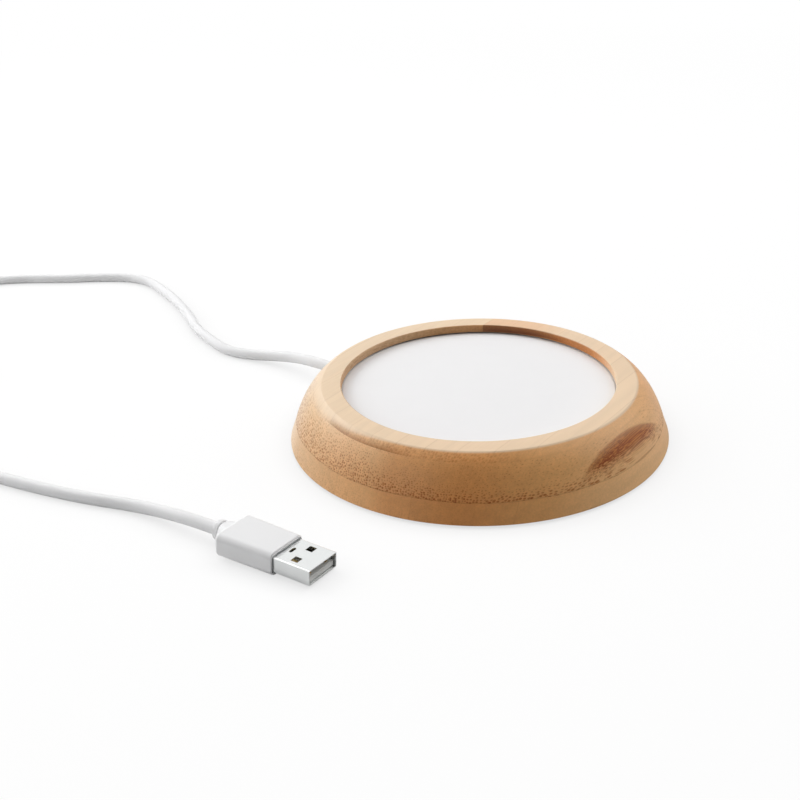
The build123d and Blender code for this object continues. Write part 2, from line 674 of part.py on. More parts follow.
def plug_overmould():
    """Moulded bar with soft long edges, a little wider at the rear, then a tapered collar and a ring."""
    front, rear = MOULD_HALF_W
    nose = Plane.YZ * RectangleRounded(2 * front, MOULD_H, MOULD_EDGE)
    tail = Plane.YZ.offset(-MOULD_LENGTH) * RectangleRounded(2 * rear, MOULD_H, MOULD_EDGE)
    body = loft([tail, nose])
    body = fillet(body.faces().sort_by(Axis.X)[-1].edges(), 0.4)
    body = fillet(body.faces().sort_by(Axis.X)[0].edges(), 1.2)
    wide = Plane.YZ.offset(-MOULD_LENGTH + 1.5) * RectangleRounded(9.6, 6.0, 2.6)
    slim = Plane.YZ.offset(-MOULD_LENGTH - 2.5) * RectangleRounded(6.4, 5.4, 2.5)
    body += loft([slim, wide])
    ring_x = -COLLAR_END + RING_LENGTH / 2
    ring_block = Rot(0, 90, 0) * Cylinder(RING_R, RING_LENGTH)
    body += Pos(ring_x, 0, 0) * fillet(ring_block.edges().filter_by(GeomType.CIRCLE), 0.35)
    body += Pos(ring_x + 1, 0, 0) * Rot(0, 90, 0) * Cylinder(2.4, 2.0)
    body -= shell_block(SHELL[0], SHELL[1], -SHELL_IN, 1, SHELL_FOLD)
    body -= shell_block(SHELL[0] + 2 * MOULD_GAP, SHELL[1] + 2 * MOULD_GAP, -0.9, 1, SHELL_FOLD + MOULD_GAP)
    body -= plug_inner_mould()
    body -= Pos(-COLLAR_END, 0, 0) * Rot(0, 90, 0) * Cylinder(CORD_R, 2 * (COLLAR_END - INNER_MOULD_END))
    body -= Pos(0.6 - COLLAR_END, 0, 0) * Rot(0, 90, 0) * Cone(CORD_R + 0.3, CORD_R, 1.2)
    return body


def cord_plug_side():
    return tube("cord_plug_side", INWARD + [on_plug_axis(30.0), on_plug_axis(INNER_MOULD_END)], CORD_R)


def parts():
    """Every node's name and its shape."""
    yield "bamboo_housing", bamboo_housing()
    yield "plate_gasket", plate_gasket()
    yield "heating_plate", heating_plate()
    yield "heater_film_top", heater_film(FOIL_Z, with_window=False)
    yield "heater_foil", heater_foil()
    yield "heater_film_bottom", heater_film(PAD_Z, with_window=True)
    yield "insulation_pad", insulation_pad()
    yield "pressure_plate", pressure_plate()
    yield "clamp_washers", clamp_washers()
    yield "clamp_nuts", clamp_nuts()
    yield "plate_carrier", plate_carrier()
    yield "carrier_screws", carrier_screws()
    yield "thermal_cutout", thermal_cutout()
    yield "cutout_strap", cutout_strap()
    yield "strap_screws", strap_screws()
    yield "lead_live", lead_live()
    yield "lead_return", lead_return()
    yield "lead_link", lead_link()
    yield "heat_sleeves", heat_sleeves()
    yield "cord_bush", cord_bush()
    yield "cord_tail", cord_tail()
    yield "cord_clamp", cord_clamp()
    yield "clamp_screws", clamp_screws()
    yield "base_cover", base_cover()
    yield "cover_screws", cover_screws()
    for number, angle in enumerate(DIAGONALS, start=1):
        yield f"rubber_foot_{number}", rubber_foot(angle)
    yield "cord_body_side", tube("cord_body_side", OUTWARD, CORD_R)
    yield "cord_coil", cord_coil()
    yield "cord_tie", cord_tie()
    yield "cord_plug_side", cord_plug_side()
    yield "plug_overmould", plug_place(plug_overmould())
    yield "plug_inner_mould", plug_place(plug_inner_mould())
    yield "plug_shell", plug_place(plug_shell())
    yield "plug_tongue", plug_place(plug_tongue())
    yield "plug_contacts", plug_place(plug_contacts())


os.makedirs("parts", exist_ok=True)
for node, shape in parts():
    export_step(shape, f"parts/{node}.step")
print(f"coil: {COIL_TURNS:.2f} turns, {2 * pi * COIL_R * COIL_TURNS:.0f} of cord")
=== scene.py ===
# %% [markdown]
# # A bamboo mug warmer, dressed for the studio
# The object is a turned bamboo ring with a white heating plate sunk in it, a slim white cord and a plug.
# Every inner and outer piece is already a solid at its real size. This script loads those solids as a fixed
# frame, gives each one its finish, and models finer pieces where a finish is not enough: the turned ring,
# whose figure and soft edges catch the light, and the cord, which is one length. Lengths of the object are
# millimetres, because a maker thinks in them, and become metres last.

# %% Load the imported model
import json
from math import cos, radians, sin
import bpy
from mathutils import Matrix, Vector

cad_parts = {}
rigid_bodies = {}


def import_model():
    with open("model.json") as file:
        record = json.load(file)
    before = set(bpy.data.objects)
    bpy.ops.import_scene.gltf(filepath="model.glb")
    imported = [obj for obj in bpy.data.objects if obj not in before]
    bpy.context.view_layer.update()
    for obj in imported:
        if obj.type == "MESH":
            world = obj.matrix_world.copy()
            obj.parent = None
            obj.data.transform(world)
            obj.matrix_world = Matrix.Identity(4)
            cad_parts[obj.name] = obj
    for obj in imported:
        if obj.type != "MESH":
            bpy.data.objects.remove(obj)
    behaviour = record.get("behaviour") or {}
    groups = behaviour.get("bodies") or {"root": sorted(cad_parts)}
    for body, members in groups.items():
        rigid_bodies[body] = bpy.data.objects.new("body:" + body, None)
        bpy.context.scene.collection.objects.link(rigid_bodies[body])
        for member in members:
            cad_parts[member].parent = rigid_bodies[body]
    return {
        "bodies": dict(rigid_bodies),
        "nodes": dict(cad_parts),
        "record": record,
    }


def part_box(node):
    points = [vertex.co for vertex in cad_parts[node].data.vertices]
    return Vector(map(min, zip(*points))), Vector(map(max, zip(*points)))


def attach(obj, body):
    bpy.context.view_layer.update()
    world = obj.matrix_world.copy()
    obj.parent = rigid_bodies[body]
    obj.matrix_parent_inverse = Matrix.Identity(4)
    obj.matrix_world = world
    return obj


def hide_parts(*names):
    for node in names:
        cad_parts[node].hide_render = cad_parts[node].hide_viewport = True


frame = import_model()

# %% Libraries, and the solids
from types import SimpleNamespace

import bpy
import numpy as np
from mathutils import Euler

MM = 0.001
NODES = frame["nodes"]
SLOT_OF = {part["node"]: part["material_slot"] for part in frame["record"]["subparts"]}
BODY = list(frame["bodies"])[0]
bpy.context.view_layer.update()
print(len(NODES), "solids on the body", BODY)

# %% [markdown]
# ## The camera
# It stands in front of the warmer, a little above it, and looks down by 25.7 degrees. The camera is placed
# first, since the spare cord has to lie where this view does not reach.

# %% Camera
CAMERA_PLACE = (0.0, -355.823, 182.729)
HEADING = 3.9612  # degrees to the left of straight ahead
LOOK_DOWN = 25.692
ROLL = -2.1098
LENS = 56.27
SENSOR = 36.0


def put_in_scene(name, data):
    """A new object that carries the data, linked to the scene."""
    made = bpy.data.objects.new(name, data)
    bpy.context.scene.collection.objects.link(made)
    return made


camera_data = bpy.data.cameras.new("studio_camera")
camera_data.lens = LENS
camera_data.sensor_width = SENSOR
camera = put_in_scene("studio_camera", camera_data)
aimed = Euler((radians(90.0 - LOOK_DOWN), 0.0, radians(HEADING))).to_matrix()
rolled = Euler((0.0, 0.0, radians(ROLL))).to_matrix()
camera.matrix_world = (aimed @ rolled).to_4x4()
camera.location = [value * MM for value in CAMERA_PLACE]
bpy.context.scene.camera = camera
print("camera stands", np.round(camera.location, 3))

# %% [markdown]
# ## The cord
# One length of soft white cord leaves the body at the back left, bends in an S over the table and runs out
# of view, where the spare length is wound up, and comes back to the plug. A NURBS spline suits a cord: its
# control points pull the line like a hand does, and it never kinks.

# %% The two listed stretches
CORD_R = 1.9
LAID = 1.95  # height of the cord's centre where it lies on the table
TO_COIL = [
    (-50.56, 36.74, 6.2), (-56.63, 41.14, 6.2), (-64.2, 48.4, 4.9), (-74.0, 54.6, 2.9), (-84.5, 58.2, LAID),
    (-92.5, 62.4, LAID), (-99.5, 71.5, LAID), (-107.0, 82.0, LAID), (-113.5, 97.5, LAID),
    (-121.5, 112.5, LAID), (-130.5, 126.0, LAID), (-138.0, 136.0, LAID), (-148.0, 141.5, LAID),
    (-161.0, 142.2, LAID), (-177.0, 141.0, LAID), (-194.0, 141.8, LAID), (-210.0, 139.5, LAID),
    (-224.0, 134.0, LAID), (-234.5, 124.0, LAID), (-240.5, 110.5, LAID), (-240.5, 96.5, LAID),
    (-236.5, 85.0, LAID), (-230.4, 76.0, LAID), (-226.9, 66.0, LAID), (-226.9, 54.0, LAID),
]
TO_PLUG = [
    (-208.0, 13.46, 5.75), (-198.8, 5.75, 5.75), (-189.6, -1.8, 4.7), (-180.2, -9.8, 3.0),
    (-170.0, -17.2, LAID), (-158.3, -25.5, LAID), (-144.5, -33.0, LAID), (-130.0, -39.4, LAID),
    (-114.6, -45.2, LAID), (-101.0, -48.9, LAID), (-89.8, -54.4, 2.95),
]
PLUG_PLACE = (-50.6, -78.4, 3.68)
PLUG_YAW = radians(-30.2)
PLUG_TILT = radians(1.9)


def on_plug_axis(behind):
    """A point on the plug's axis, so many millimetres behind the front of its moulding."""
    x, y, z = PLUG_PLACE
    level = behind * cos(PLUG_TILT)
    return (x - level * cos(PLUG_YAW), y - level * sin(PLUG_YAW), z + behind * sin(PLUG_TILT))


print(len(TO_COIL) + len(TO_PLUG), "points laid by hand")

# %% [markdown]
# ### The coil
# The spare length is wound three times round, under a tie. A turn is a polygon of control points that the
# spline rounds off. The polygon touches the real circle at the middle of its sides, so its corners lie
# outside the circle by one over the cosine of half a step. The cord changes its lane while it goes round:
# outer, inner, up on the top, across to the outside, and off.

# %% The coil's control points
COIL_CENTRE = (-204.0, 40.0)
COIL_FROM = 180.0
COIL_TO = 230.0 + 3 * 360.0
COIL_POINTS = 75
LANE_ANGLES = (180, 485, 540, 830, 865, 950, 980, 1190, 1225, 1310)
LANE_RADII = (22.9, 22.9, 19.1, 19.1, 19.1, 19.1, 21.0, 21.0, 22.9, 22.9)
LANE_HEIGHTS = (1.95, 1.95, 1.95, 1.95, 5.75, 5.75, 5.24, 5.24, 5.75, 5.75)
TIE_ANGLE = 80.0
TIE_HALF = 11.0  # the strap lies under the cord for this many degrees to both sides
TIE_RAMP = 12.0  # and the cord climbs to it over this many more
TIE_WALL = 0.8


def coil_points():
    """Angle grows evenly, radius and height follow the lanes, and all turns ride up over the strap."""
    step = (COIL_TO - COIL_FROM) / COIL_POINTS
    angle = COIL_FROM + step * (np.arange(COIL_POINTS) + 0.5)
    radius = np.interp(angle, LANE_ANGLES, LANE_RADII) / cos(radians(step / 2))
    from_tie = np.abs((angle - TIE_ANGLE + 180.0) % 360.0 - 180.0)
    lift = np.clip((TIE_HALF + TIE_RAMP - from_tie) / TIE_RAMP, 0, 1)
    height = np.interp(angle, LANE_ANGLES, LANE_HEIGHTS) + TIE_WALL * lift
    turned = np.radians(angle)
    x, y = COIL_CENTRE
    return np.column_stack([x + radius * np.cos(turned), y + radius * np.sin(turned), height])


print("the coil's points rise to", round(float(coil_points()[:, 2].max()), 2), "mm")

# %% [markdown]
# ### One spline
# The stretches and the coil join into one curve, so the cord has no seam. Its last two points lie on the
# plug's axis, which brings it into the moulding straight, as the real one is moulded in.

# %% The spline
PLUG_LEAD = 30.0  # from here on the cord runs in line with the plug
PLUG_GRIP = 14.0  # and here it ends, inside the moulding
plug_end = [on_plug_axis(PLUG_LEAD), on_plug_axis(PLUG_GRIP)]
cord_route = np.vstack([TO_COIL, coil_points(), TO_PLUG, plug_end]) * MM


def spline_curve(name, route, radius):
    """Open NURBS curve of order 3 with the route's points as control points, and a round section."""
    data = bpy.data.curves.new(name, "CURVE")
    data.dimensions = "3D"
    line = data.splines.new("NURBS")
    line.points.add(len(route) - 1)
    line.points.foreach_set("co", np.column_stack([route, np.ones(len(route))]).ravel())
    line.points.foreach_set("radius", np.full(len(route), radius))
    line.order_u = 3
    line.use_endpoint_u = True
    line.resolution_u = 8
    line.use_smooth = True
    data.bevel_depth = 1.0  # times each point's radius, which the bound box needs
    data.bevel_resolution = 6
    return put_in_scene(name, data)


cord = spline_curve("supply_cord", cord_route, CORD_R * MM)
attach(cord, BODY)
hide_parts("cord_body_side", "cord_coil", "cord_plug_side")
print("cord points:", len(cord_route))

# %% [markdown]
# ## Tools for node networks
# The tent, the floor and every finish are networks of shader nodes. A few helpers keep them short: they place
# and wire a node, do arithmetic, make a step or blend colours. Patterns read the object's own coordinates in
# millimetres.

# %% Helpers for nodes and numbers
def wire(tree, socket, value):
    """Links an output to an input socket, or sets the socket to a plain value."""
    if isinstance(value, bpy.types.NodeSocket):
        tree.links.new(value, socket)
    elif value is not None:
        socket.default_value = value


def add(tree, kind, inputs=None, **settings):
    """Places a shader node, sets its properties and wires its inputs, given by name or number."""
    made = tree.nodes.new("ShaderNode" + kind)
    for name, value in settings.items():
        setattr(made, name, value)
    for name, value in (inputs or {}).items():
        wire(tree, made.inputs[name], value)
    return made


def maths(tree, operation, *values):
    """One arithmetic step; returns its result."""
    return add(tree, "Math", dict(enumerate(values)), operation=operation).outputs[0]


def product(tree, first, *others):
    """All the values multiplied with one another."""
    for value in others:
        first = maths(tree, "MULTIPLY", first, value)
    return first


def vector_maths(tree, operation, *values, result=0):
    """One step on vectors; result 0 is its vector and result 1 its number."""
    return add(tree, "VectorMath", dict(enumerate(values)), operation=operation).outputs[result]


def scaled(tree, vector, factor):
    """A vector times a number."""
    return add(tree, "VectorMath", {0: vector, "Scale": factor}, operation="SCALE").outputs[0]


def smooth_step(tree, value, low, high, to_low=0.0, to_high=1.0, way="SMOOTHSTEP"):
    """From to_low, at or under low, to to_high, at or over high: an S curve, or a line for LINEAR."""
    ends = {"Value": value, "From Min": low, "From Max": high, "To Min": to_low, "To Max": to_high}
    return add(tree, "MapRange", ends, interpolation_type=way, clamp=True).outputs["Result"]


def noise(tree, place, scale, detail, roughness=0.5):
    """Soft noise of one swing per 1 / scale, and so many finer ones; its outputs are Fac and Color."""
    inputs = {"Vector": place, "Scale": scale, "Detail": detail, "Roughness": roughness}
    return add(tree, "TexNoise", inputs).outputs


print("number helpers ready")

# %% Helpers for colours, groups and materials
def blend_colour(tree, factor, first, second, way="MIX"):
    """Blends two colours by a factor: sockets 0, 6 and 7 of a Mix node are the factor and the colours."""
    return add(tree, "Mix", {0: factor, 6: first, 7: second}, data_type="RGBA", blend_type=way).outputs[2]


def tinted(tree, amount, colour, tint):
    """A colour, multiplied by a tint where amount is 1 and left alone where it is 0."""
    return blend_colour(tree, amount, colour, tint, "MULTIPLY")


def toned(tree, colour, tone):
    """A colour, multiplied by one number for its red, green and blue."""
    grey = add(tree, "CombineColor", {"Red": tone, "Green": tone, "Blue": tone}).outputs[0]
    return tinted(tree, 1.0, colour, grey)


def in_millimetres(tree):
    """The surface's own coordinates, scaled to millimetres."""
    return scaled(tree, add(tree, "TexCoord").outputs["Object"], 1.0 / MM)


def new_group(name, inputs, outputs):
    """A node group with named sockets; returns the group, its inner inputs and its inner outputs."""
    group = bpy.data.node_groups.new(name, "ShaderNodeTree")
    for label, (kind, start) in inputs.items():
        socket = group.interface.new_socket(label, in_out="INPUT", socket_type="NodeSocket" + kind)
        if start is not None:
            socket.default_value = start
    for label, kind in outputs.items():
        group.interface.new_socket(label, in_out="OUTPUT", socket_type="NodeSocket" + kind)
    return group, group.nodes.new("NodeGroupInput").outputs, group.nodes.new("NodeGroupOutput").inputs


def use_group(tree, group, inputs):
    """Places a node group and wires its inputs; returns its outputs."""
    made = add(tree, "Group", node_tree=group)
    for name, value in inputs.items():
        wire(tree, made.inputs[name], value)
    return made.outputs


def new_material(name):
    """A material with one Principled shader; returns the material, its tree and the shader's inputs."""
    made = bpy.data.materials.new(name)
    made.use_nodes = True
    return made, made.node_tree, made.node_tree.nodes["Principled BSDF"].inputs


def bumped(tree, height, millimetres):
    """A bump of so many millimetres for a height between 0 and 1; returns the normal."""
    inputs = {"Strength": 1.0, "Distance": millimetres * MM, "Height": height}
    return add(tree, "Bump", inputs).outputs["Normal"]


print("colour and group helpers ready")

# %% [markdown]
# ## The light
# The room is a white tent, open towards the camera. The strongest light comes from the back left, others
# from the left, the right and behind, and hardly any from the camera's side, so the front of the wood and the
# far wall of the recess are dark. The white floor throws light up. The tent's wall adds little light, but it
# is bright to the camera and in reflections, so that metal has something white to mirror. The studio's
# numbers are metres.

# %% Lamps
def softbox(name, place, aim, size, watts):
    """Square area lamp, pitched up from straight down and then turned about Z until it faces a point."""
    lamp = bpy.data.lights.new(name, "AREA")
    lamp.shape = "SQUARE"
    lamp.size = size
    lamp.energy = watts
    holder = put_in_scene(name, lamp)
    towards = np.array(aim) - np.array(place)
    level = float(np.hypot(towards[0], towards[1]))
    pitch = np.pi / 2 + float(np.arctan2(towards[2], level))
    turn = float(np.arctan2(-towards[0], towards[1]))
    holder.rotation_euler = (pitch, 0.0, turn)
    holder.location = place


AIM = (-0.03, 0.0, 0.01)
LAMPS = {  # place, size of its square, and power
    "back_left_box": ((-0.70, 0.60, 0.75), 0.8, 6.9),
    "left_box": ((-0.95, 0.08, 0.45), 0.7, 4.5),
    "right_box": ((0.80, 0.22, 0.75), 0.9, 6.4),
    "high_box": ((0.10, 0.45, 1.15), 0.8, 2.8),
    "front_left_box": ((-0.75, -0.65, 0.45), 0.6, 1.3),
}
for lamp_name, (stand, side, power) in LAMPS.items():
    softbox(lamp_name, stand, AIM, side, power)
print(len(LAMPS), "softboxes")

# %% The tent
WHITE = (1.0, 1.0, 1.0, 1.0)
ROOM_LEVEL = 0.10  # the light that the tent's wall adds
ROOM_MIRRORED = 0.97  # how bright it looks in a reflection
OPEN_SIDE = 0.15  # what is left of both on the camera's side
OPEN_TO_CLOSED = (-0.5, 0.3)  # the wall closes between these, measured on the direction's Y


def seen_directly(tree, mirrored):
    """1 for what the camera or a refraction sees, mirrored for a reflection, 0 for light that bounces on."""
    path = add(tree, "LightPath").outputs
    dimmed = product(tree, path["Is Glossy Ray"], mirrored)
    seen = maths(tree, "MAXIMUM", path["Is Camera Ray"], dimmed)
    return maths(tree, "MAXIMUM", seen, path["Is Transmission Ray"])


world = bpy.data.worlds.new("white_tent")
world.use_nodes = True
bpy.context.scene.world = world
tent = world.node_tree
direction = add(tent, "TexCoord").outputs["Generated"]
to_back = add(tent, "SeparateXYZ", {"Vector": direction}).outputs["Y"]


def tent_side(level):
    """A level of the tent's wall, lower towards the camera, where the tent is open and dark."""
    return smooth_step(tent, to_back, *OPEN_TO_CLOSED, OPEN_SIDE * level, level, way="LINEAR")


seen_tent = seen_directly(tent, tent_side(ROOM_MIRRORED))
tent_strength = smooth_step(tent, seen_tent, 0.0, 1.0, tent_side(ROOM_LEVEL), 1.0, way="LINEAR")
backdrop = tent.nodes["Background"].inputs
backdrop["Color"].default_value = WHITE
wire(tent, backdrop["Strength"], tent_strength)
print("the tent adds", ROOM_LEVEL, "of white")

# %% [markdown]
# ### The floor
# White paper under soft light never looks quite white, so the floor has two faces. To the camera it glows
# white and keeps only a share of its real shading, which fades out away from the object. A painted contact
# shadow darkens it within a few millimetres of what stands on it. To light that bounces on it is plain pale
# paper.

# %% Floor
FLOOR_HALF = 4.0
FLOOR_MIRRORED = 0.0  # a reflection sees the plain paper
FLOOR_BOUNCE = (0.8, 0.8, 0.8, 1.0)
FLOOR_SHADOW = 0.13  # how much of a shadow shows on the white floor
SHADOW_FADE = (0.35, 0.80)  # shadows fade out between these distances from the middle
# The dark line under an edge is a painted contact shadow, from ambient occlusion in the glow.
CONTACT_REACH = 0.008  # how far the dark line under an edge reaches out
CONTACT_SHADE = 0.76  # how bright the floor is where it is closed in most
OPEN_FLOOR = 0.9  # from this openness on it is fully white


def paper_finish():
    """Seen: glow times a painted contact shadow, blended with a lit white. Else: a plain pale diffuse paper.
    """
    made = bpy.data.materials.new("white_paper")
    made.use_nodes = True
    tree = made.node_tree
    tree.nodes.clear()
    openness = add(tree, "AmbientOcclusion", {"Distance": CONTACT_REACH}, samples=4).outputs["AO"]
    contact = smooth_step(tree, openness, 0.0, OPEN_FLOOR, CONTACT_SHADE, 1.0, way="LINEAR")
    glow = add(tree, "Emission", {"Color": WHITE, "Strength": contact}).outputs[0]
    lit = add(tree, "BsdfDiffuse", {"Color": WHITE}).outputs[0]
    away = vector_maths(tree, "LENGTH", add(tree, "TexCoord").outputs["Object"], result=1)
    glowing = smooth_step(tree, away, *SHADOW_FADE, 1.0 - FLOOR_SHADOW, 1.0, way="LINEAR")
    shown = add(tree, "MixShader", {0: glowing, 1: lit, 2: glow}).outputs[0]
    bounce = add(tree, "BsdfDiffuse", {"Color": FLOOR_BOUNCE}).outputs[0]
    seen = seen_directly(tree, FLOOR_MIRRORED)
    either = add(tree, "MixShader", {0: seen, 1: bounce, 2: shown}).outputs[0]
    add(tree, "OutputMaterial", {"Surface": either})
    return made


floor_mesh = bpy.data.meshes.new("paper_floor")
floor_corners = [(x * FLOOR_HALF, y * FLOOR_HALF, 0.0) for x, y in ((-1, -1), (1, -1), (1, 1), (-1, 1))]
floor_mesh.from_pydata(floor_corners, [], [(0, 1, 2, 3)])
floor_mesh.materials.append(paper_finish())
floor = put_in_scene("paper_floor", floor_mesh)
bpy.context.scene.view_settings.view_transform = "Standard"
print("the floor is", 2 * FLOOR_HALF, "m wide")

# %% [markdown]
# ## Shared effects
# Three effects turn up in many finishes. Mottle is the slow change of tone that any real surface has. Skin
# is the fine spark-eroded grain of a mould. Lines are the drawn or brushed marks along one direction. Each is
# a node group, built once and placed with its own values.

# %% Shared groups: mottle, skin and lines
VECTOR_IN = ("Vector", None)
COARSE_SCALE = 0.12  # the coarse skin's scale and weight, next to the fine one's
COARSE_WEIGHT = 0.5


def mottle_group():
    """Soft noise, pulled about its middle by Amount: a tone factor round 1."""
    inputs = {"Vector": VECTOR_IN, "Size": ("Float", 10.0), "Amount": ("Float", 0.05)}
    group, given, result = new_group("mottle", inputs, {"Tone": "Float"})
    scale = maths(group, "DIVIDE", 1.0, given["Size"])
    centred = maths(group, "SUBTRACT", noise(group, given["Vector"], scale, 3.0, 0.55)["Fac"], 0.5)
    doubled = product(group, centred, 2.0)
    wire(group, result["Tone"], maths(group, "MULTIPLY_ADD", doubled, given["Amount"], 1.0))
    return group


def skin_group():
    """Fine noise plus a coarser one at half weight: the height of a moulded or blasted skin."""
    inputs = {"Vector": VECTOR_IN, "Size": ("Float", 0.3)}
    group, given, result = new_group("skin", inputs, {"Height": "Float"})
    scale = maths(group, "DIVIDE", 1.0, given["Size"])
    fine = noise(group, given["Vector"], scale, 4.0, 0.65)["Fac"]
    coarse = noise(group, given["Vector"], product(group, scale, COARSE_SCALE), 1.0)["Fac"]
    wire(group, result["Height"], maths(group, "MULTIPLY_ADD", coarse, COARSE_WEIGHT, fine))
    return group


def lines_group():
    """Noise stretched along X by Length over Width: brushed or drawn lines."""
    inputs = {"Vector": VECTOR_IN, "Width": ("Float", 0.1), "Length": ("Float", 8.0)}
    group, given, result = new_group("lines", inputs, {"Lines": "Float"})
    across = maths(group, "DIVIDE", 1.0, given["Width"])
    along = maths(group, "DIVIDE", 1.0, given["Length"])
    size = add(group, "CombineXYZ", {"X": along, "Y": across, "Z": across}).outputs[0]
    stretched = vector_maths(group, "MULTIPLY", given["Vector"], size)
    wire(group, result["Lines"], noise(group, stretched, 1.0, 2.0, 0.6)["Fac"])
    return group


MOTTLE = mottle_group()
SKIN = skin_group()
LINES = lines_group()
print("groups:", [group.name for group in (MOTTLE, SKIN, LINES)])

# %% [markdown]
# ## Bamboo
# A culm of bamboo is a tube of pale pith full of dark fibre bundles that all run upwards, crowded near its
# skin and sparse inside. Split, planed flat and glued side by side in layers, it becomes the blank that this
# ring was turned from. So the figure follows from the build. Where the lathe cut across the grain the bundles
# show as dots, where it cut along the grain they draw out into streaks, and each layer is dark and dotted at
# its foot and smooth higher up. The finish is therefore a solid one: it works out, for any point, in which
# layer and strip it lies and how far it is from a bundle.

# %% Which layer, which strip, and where in it
GRAIN = 57.0  # direction of the fibres, in degrees from +X
LAYER = 9.5  # thickness of a layer
LAYER_FOOT = 7.1  # height of the middle layer's glue line
STRIP = 26.0  # width of a strip in the two lower layers
TOP_STRIP = 8.7  # and in the top one
FIRST_JOINT = 0.8  # a joint of the middle layer, across the grain
LOWER_SHIFT = 11.2  # the lower layer's joints lie this much further on
TOP_SHIFT = 3.5  # and the top layer's this much
WANDER_SCALE = 0.06  # a board is never quite straight
WANDER_UP = 0.7  # how far a glue line strays
WANDER_ACROSS = 0.8  # and a joint
JOINT_EDGE = (0.04, 0.22, 1.0, 0.0)  # a joint is full up to the first distance and gone at the second


def layer_group():
    """Turns a place into along, across and height, and finds its layer and strip.

    Layer is the floor of the height over a layer's thickness, and Rise what is left. Strip is the floor of
    the place across, from the layer's first joint, over a strip's width. Joint is 1 on the line between two.
    """
    outputs = {"Place": "Vector", "Layer": "Float", "Rise": "Float", "Strip": "Float", "Joint": "Float"}
    group, given, result = new_group("bamboo layers", {"Vector": VECTOR_IN}, outputs)
    turn = {"Vector": given["Vector"], "Angle": radians(-GRAIN)}
    turned = add(group, "VectorRotate", turn, rotation_type="Z_AXIS").outputs[0]
    wire(group, result["Place"], turned)
    parts = add(group, "SeparateXYZ", {"Vector": turned}).outputs
    wander = noise(group, given["Vector"], WANDER_SCALE, 1.0)["Fac"]
    level = maths(group, "SUBTRACT", parts["Z"], LAYER_FOOT + WANDER_UP / 2)
    level = maths(group, "DIVIDE", maths(group, "MULTIPLY_ADD", wander, WANDER_UP, level), LAYER)
    layer = maths(group, "FLOOR", level)
    wire(group, result["Layer"], layer)
    wire(group, result["Rise"], maths(group, "FRACT", level))
    lower = maths(group, "LESS_THAN", layer, -0.5)
    upper = maths(group, "GREATER_THAN", layer, 0.5)
    width = maths(group, "MULTIPLY_ADD", upper, TOP_STRIP - STRIP, STRIP)
    first = maths(group, "MULTIPLY_ADD", lower, LOWER_SHIFT, FIRST_JOINT)
    first = maths(group, "MULTIPLY_ADD", upper, TOP_SHIFT, first)
    across = maths(group, "SUBTRACT", parts["Y"], WANDER_ACROSS / 2)
    across = maths(group, "MULTIPLY_ADD", wander, WANDER_ACROSS, across)
    lane = maths(group, "DIVIDE", maths(group, "SUBTRACT", across, first), width)
    wire(group, result["Strip"], maths(group, "FLOOR", lane))
    from_middle = maths(group, "ABSOLUTE", maths(group, "SUBTRACT", maths(group, "FRACT", lane), 0.5))
    from_joint = product(group, maths(group, "SUBTRACT", 0.5, from_middle), width)
    wire(group, result["Joint"], smooth_step(group, from_joint, *JOINT_EDGE))
    return group


LAYERS = layer_group()
print("layers of", LAYER, "mm, strips of", STRIP, "and", TOP_STRIP, "mm")

# %% [markdown]
# ### Fibre bundles
# A bundle is a rod that runs with the grain. Cells scattered over the plane across the grain, and the same
# all along it, give such rods at once: near the middle of its cell a point is in a bundle. A slow drift bends
# the rods a little, and each layer takes its cells from elsewhere.

# %% Fibre bundles
BUNDLE_PITCH = 0.76  # spacing of the bundles
BUNDLE_SCATTER = 0.75  # 0 sets them in rows, 1 throws them about
BUNDLE_CHANGE = 0.14  # how much their radius varies, in pitches
BUNDLE_EDGE = (-0.13, 0.10, 1.0, 0.0)  # a spot's edge is soft between these, in pitches from its radius
FLATTER = 1.2  # a bundle is this much wider than high
DRIFT_SCALE = 0.045
DRIFT = 2.6  # how far the rods bend
LAYER_STEP = (0.0, 37.4, 23.7)  # keeps the layers' patterns from repeating one another


def bundle_group():
    """Round spots of a radius in a plane across the grain, so each bundle is a long rod that drifts."""
    inputs = {"Place": VECTOR_IN, "Layer": ("Float", 0.0), "Radius": ("Float", 0.3)}
    group, given, result = new_group("bamboo bundles", inputs, {"Dots": "Float", "Chance": "Float"})
    slow = noise(group, given["Place"], DRIFT_SCALE, 1.0)["Color"]
    drifted = vector_maths(group, "ADD", given["Place"], scaled(group, slow, DRIFT))
    moved = vector_maths(group, "ADD", drifted, scaled(group, LAYER_STEP, given["Layer"]))
    parts = add(group, "SeparateXYZ", {"Vector": moved}).outputs
    flat = {"X": parts["Y"], "Y": product(group, parts["Z"], FLATTER)}
    plane = add(group, "CombineXYZ", flat).outputs[0]
    spread = {"Vector": plane, "Scale": 1.0 / BUNDLE_PITCH, "Randomness": BUNDLE_SCATTER}
    cell = add(group, "TexVoronoi", spread, voronoi_dimensions="2D").outputs
    chance = add(group, "SeparateColor", {"Color": cell["Color"]}).outputs["Red"]
    wire(group, result["Chance"], chance)
    least = maths(group, "SUBTRACT", given["Radius"], BUNDLE_CHANGE / 2)
    own = maths(group, "MULTIPLY_ADD", chance, BUNDLE_CHANGE, least)
    edge = maths(group, "SUBTRACT", cell["Distance"], own)
    wire(group, result["Dots"], smooth_step(group, edge, *BUNDLE_EDGE))
    return group


BUNDLES = bundle_group()
print("bundles every", BUNDLE_PITCH, "mm")
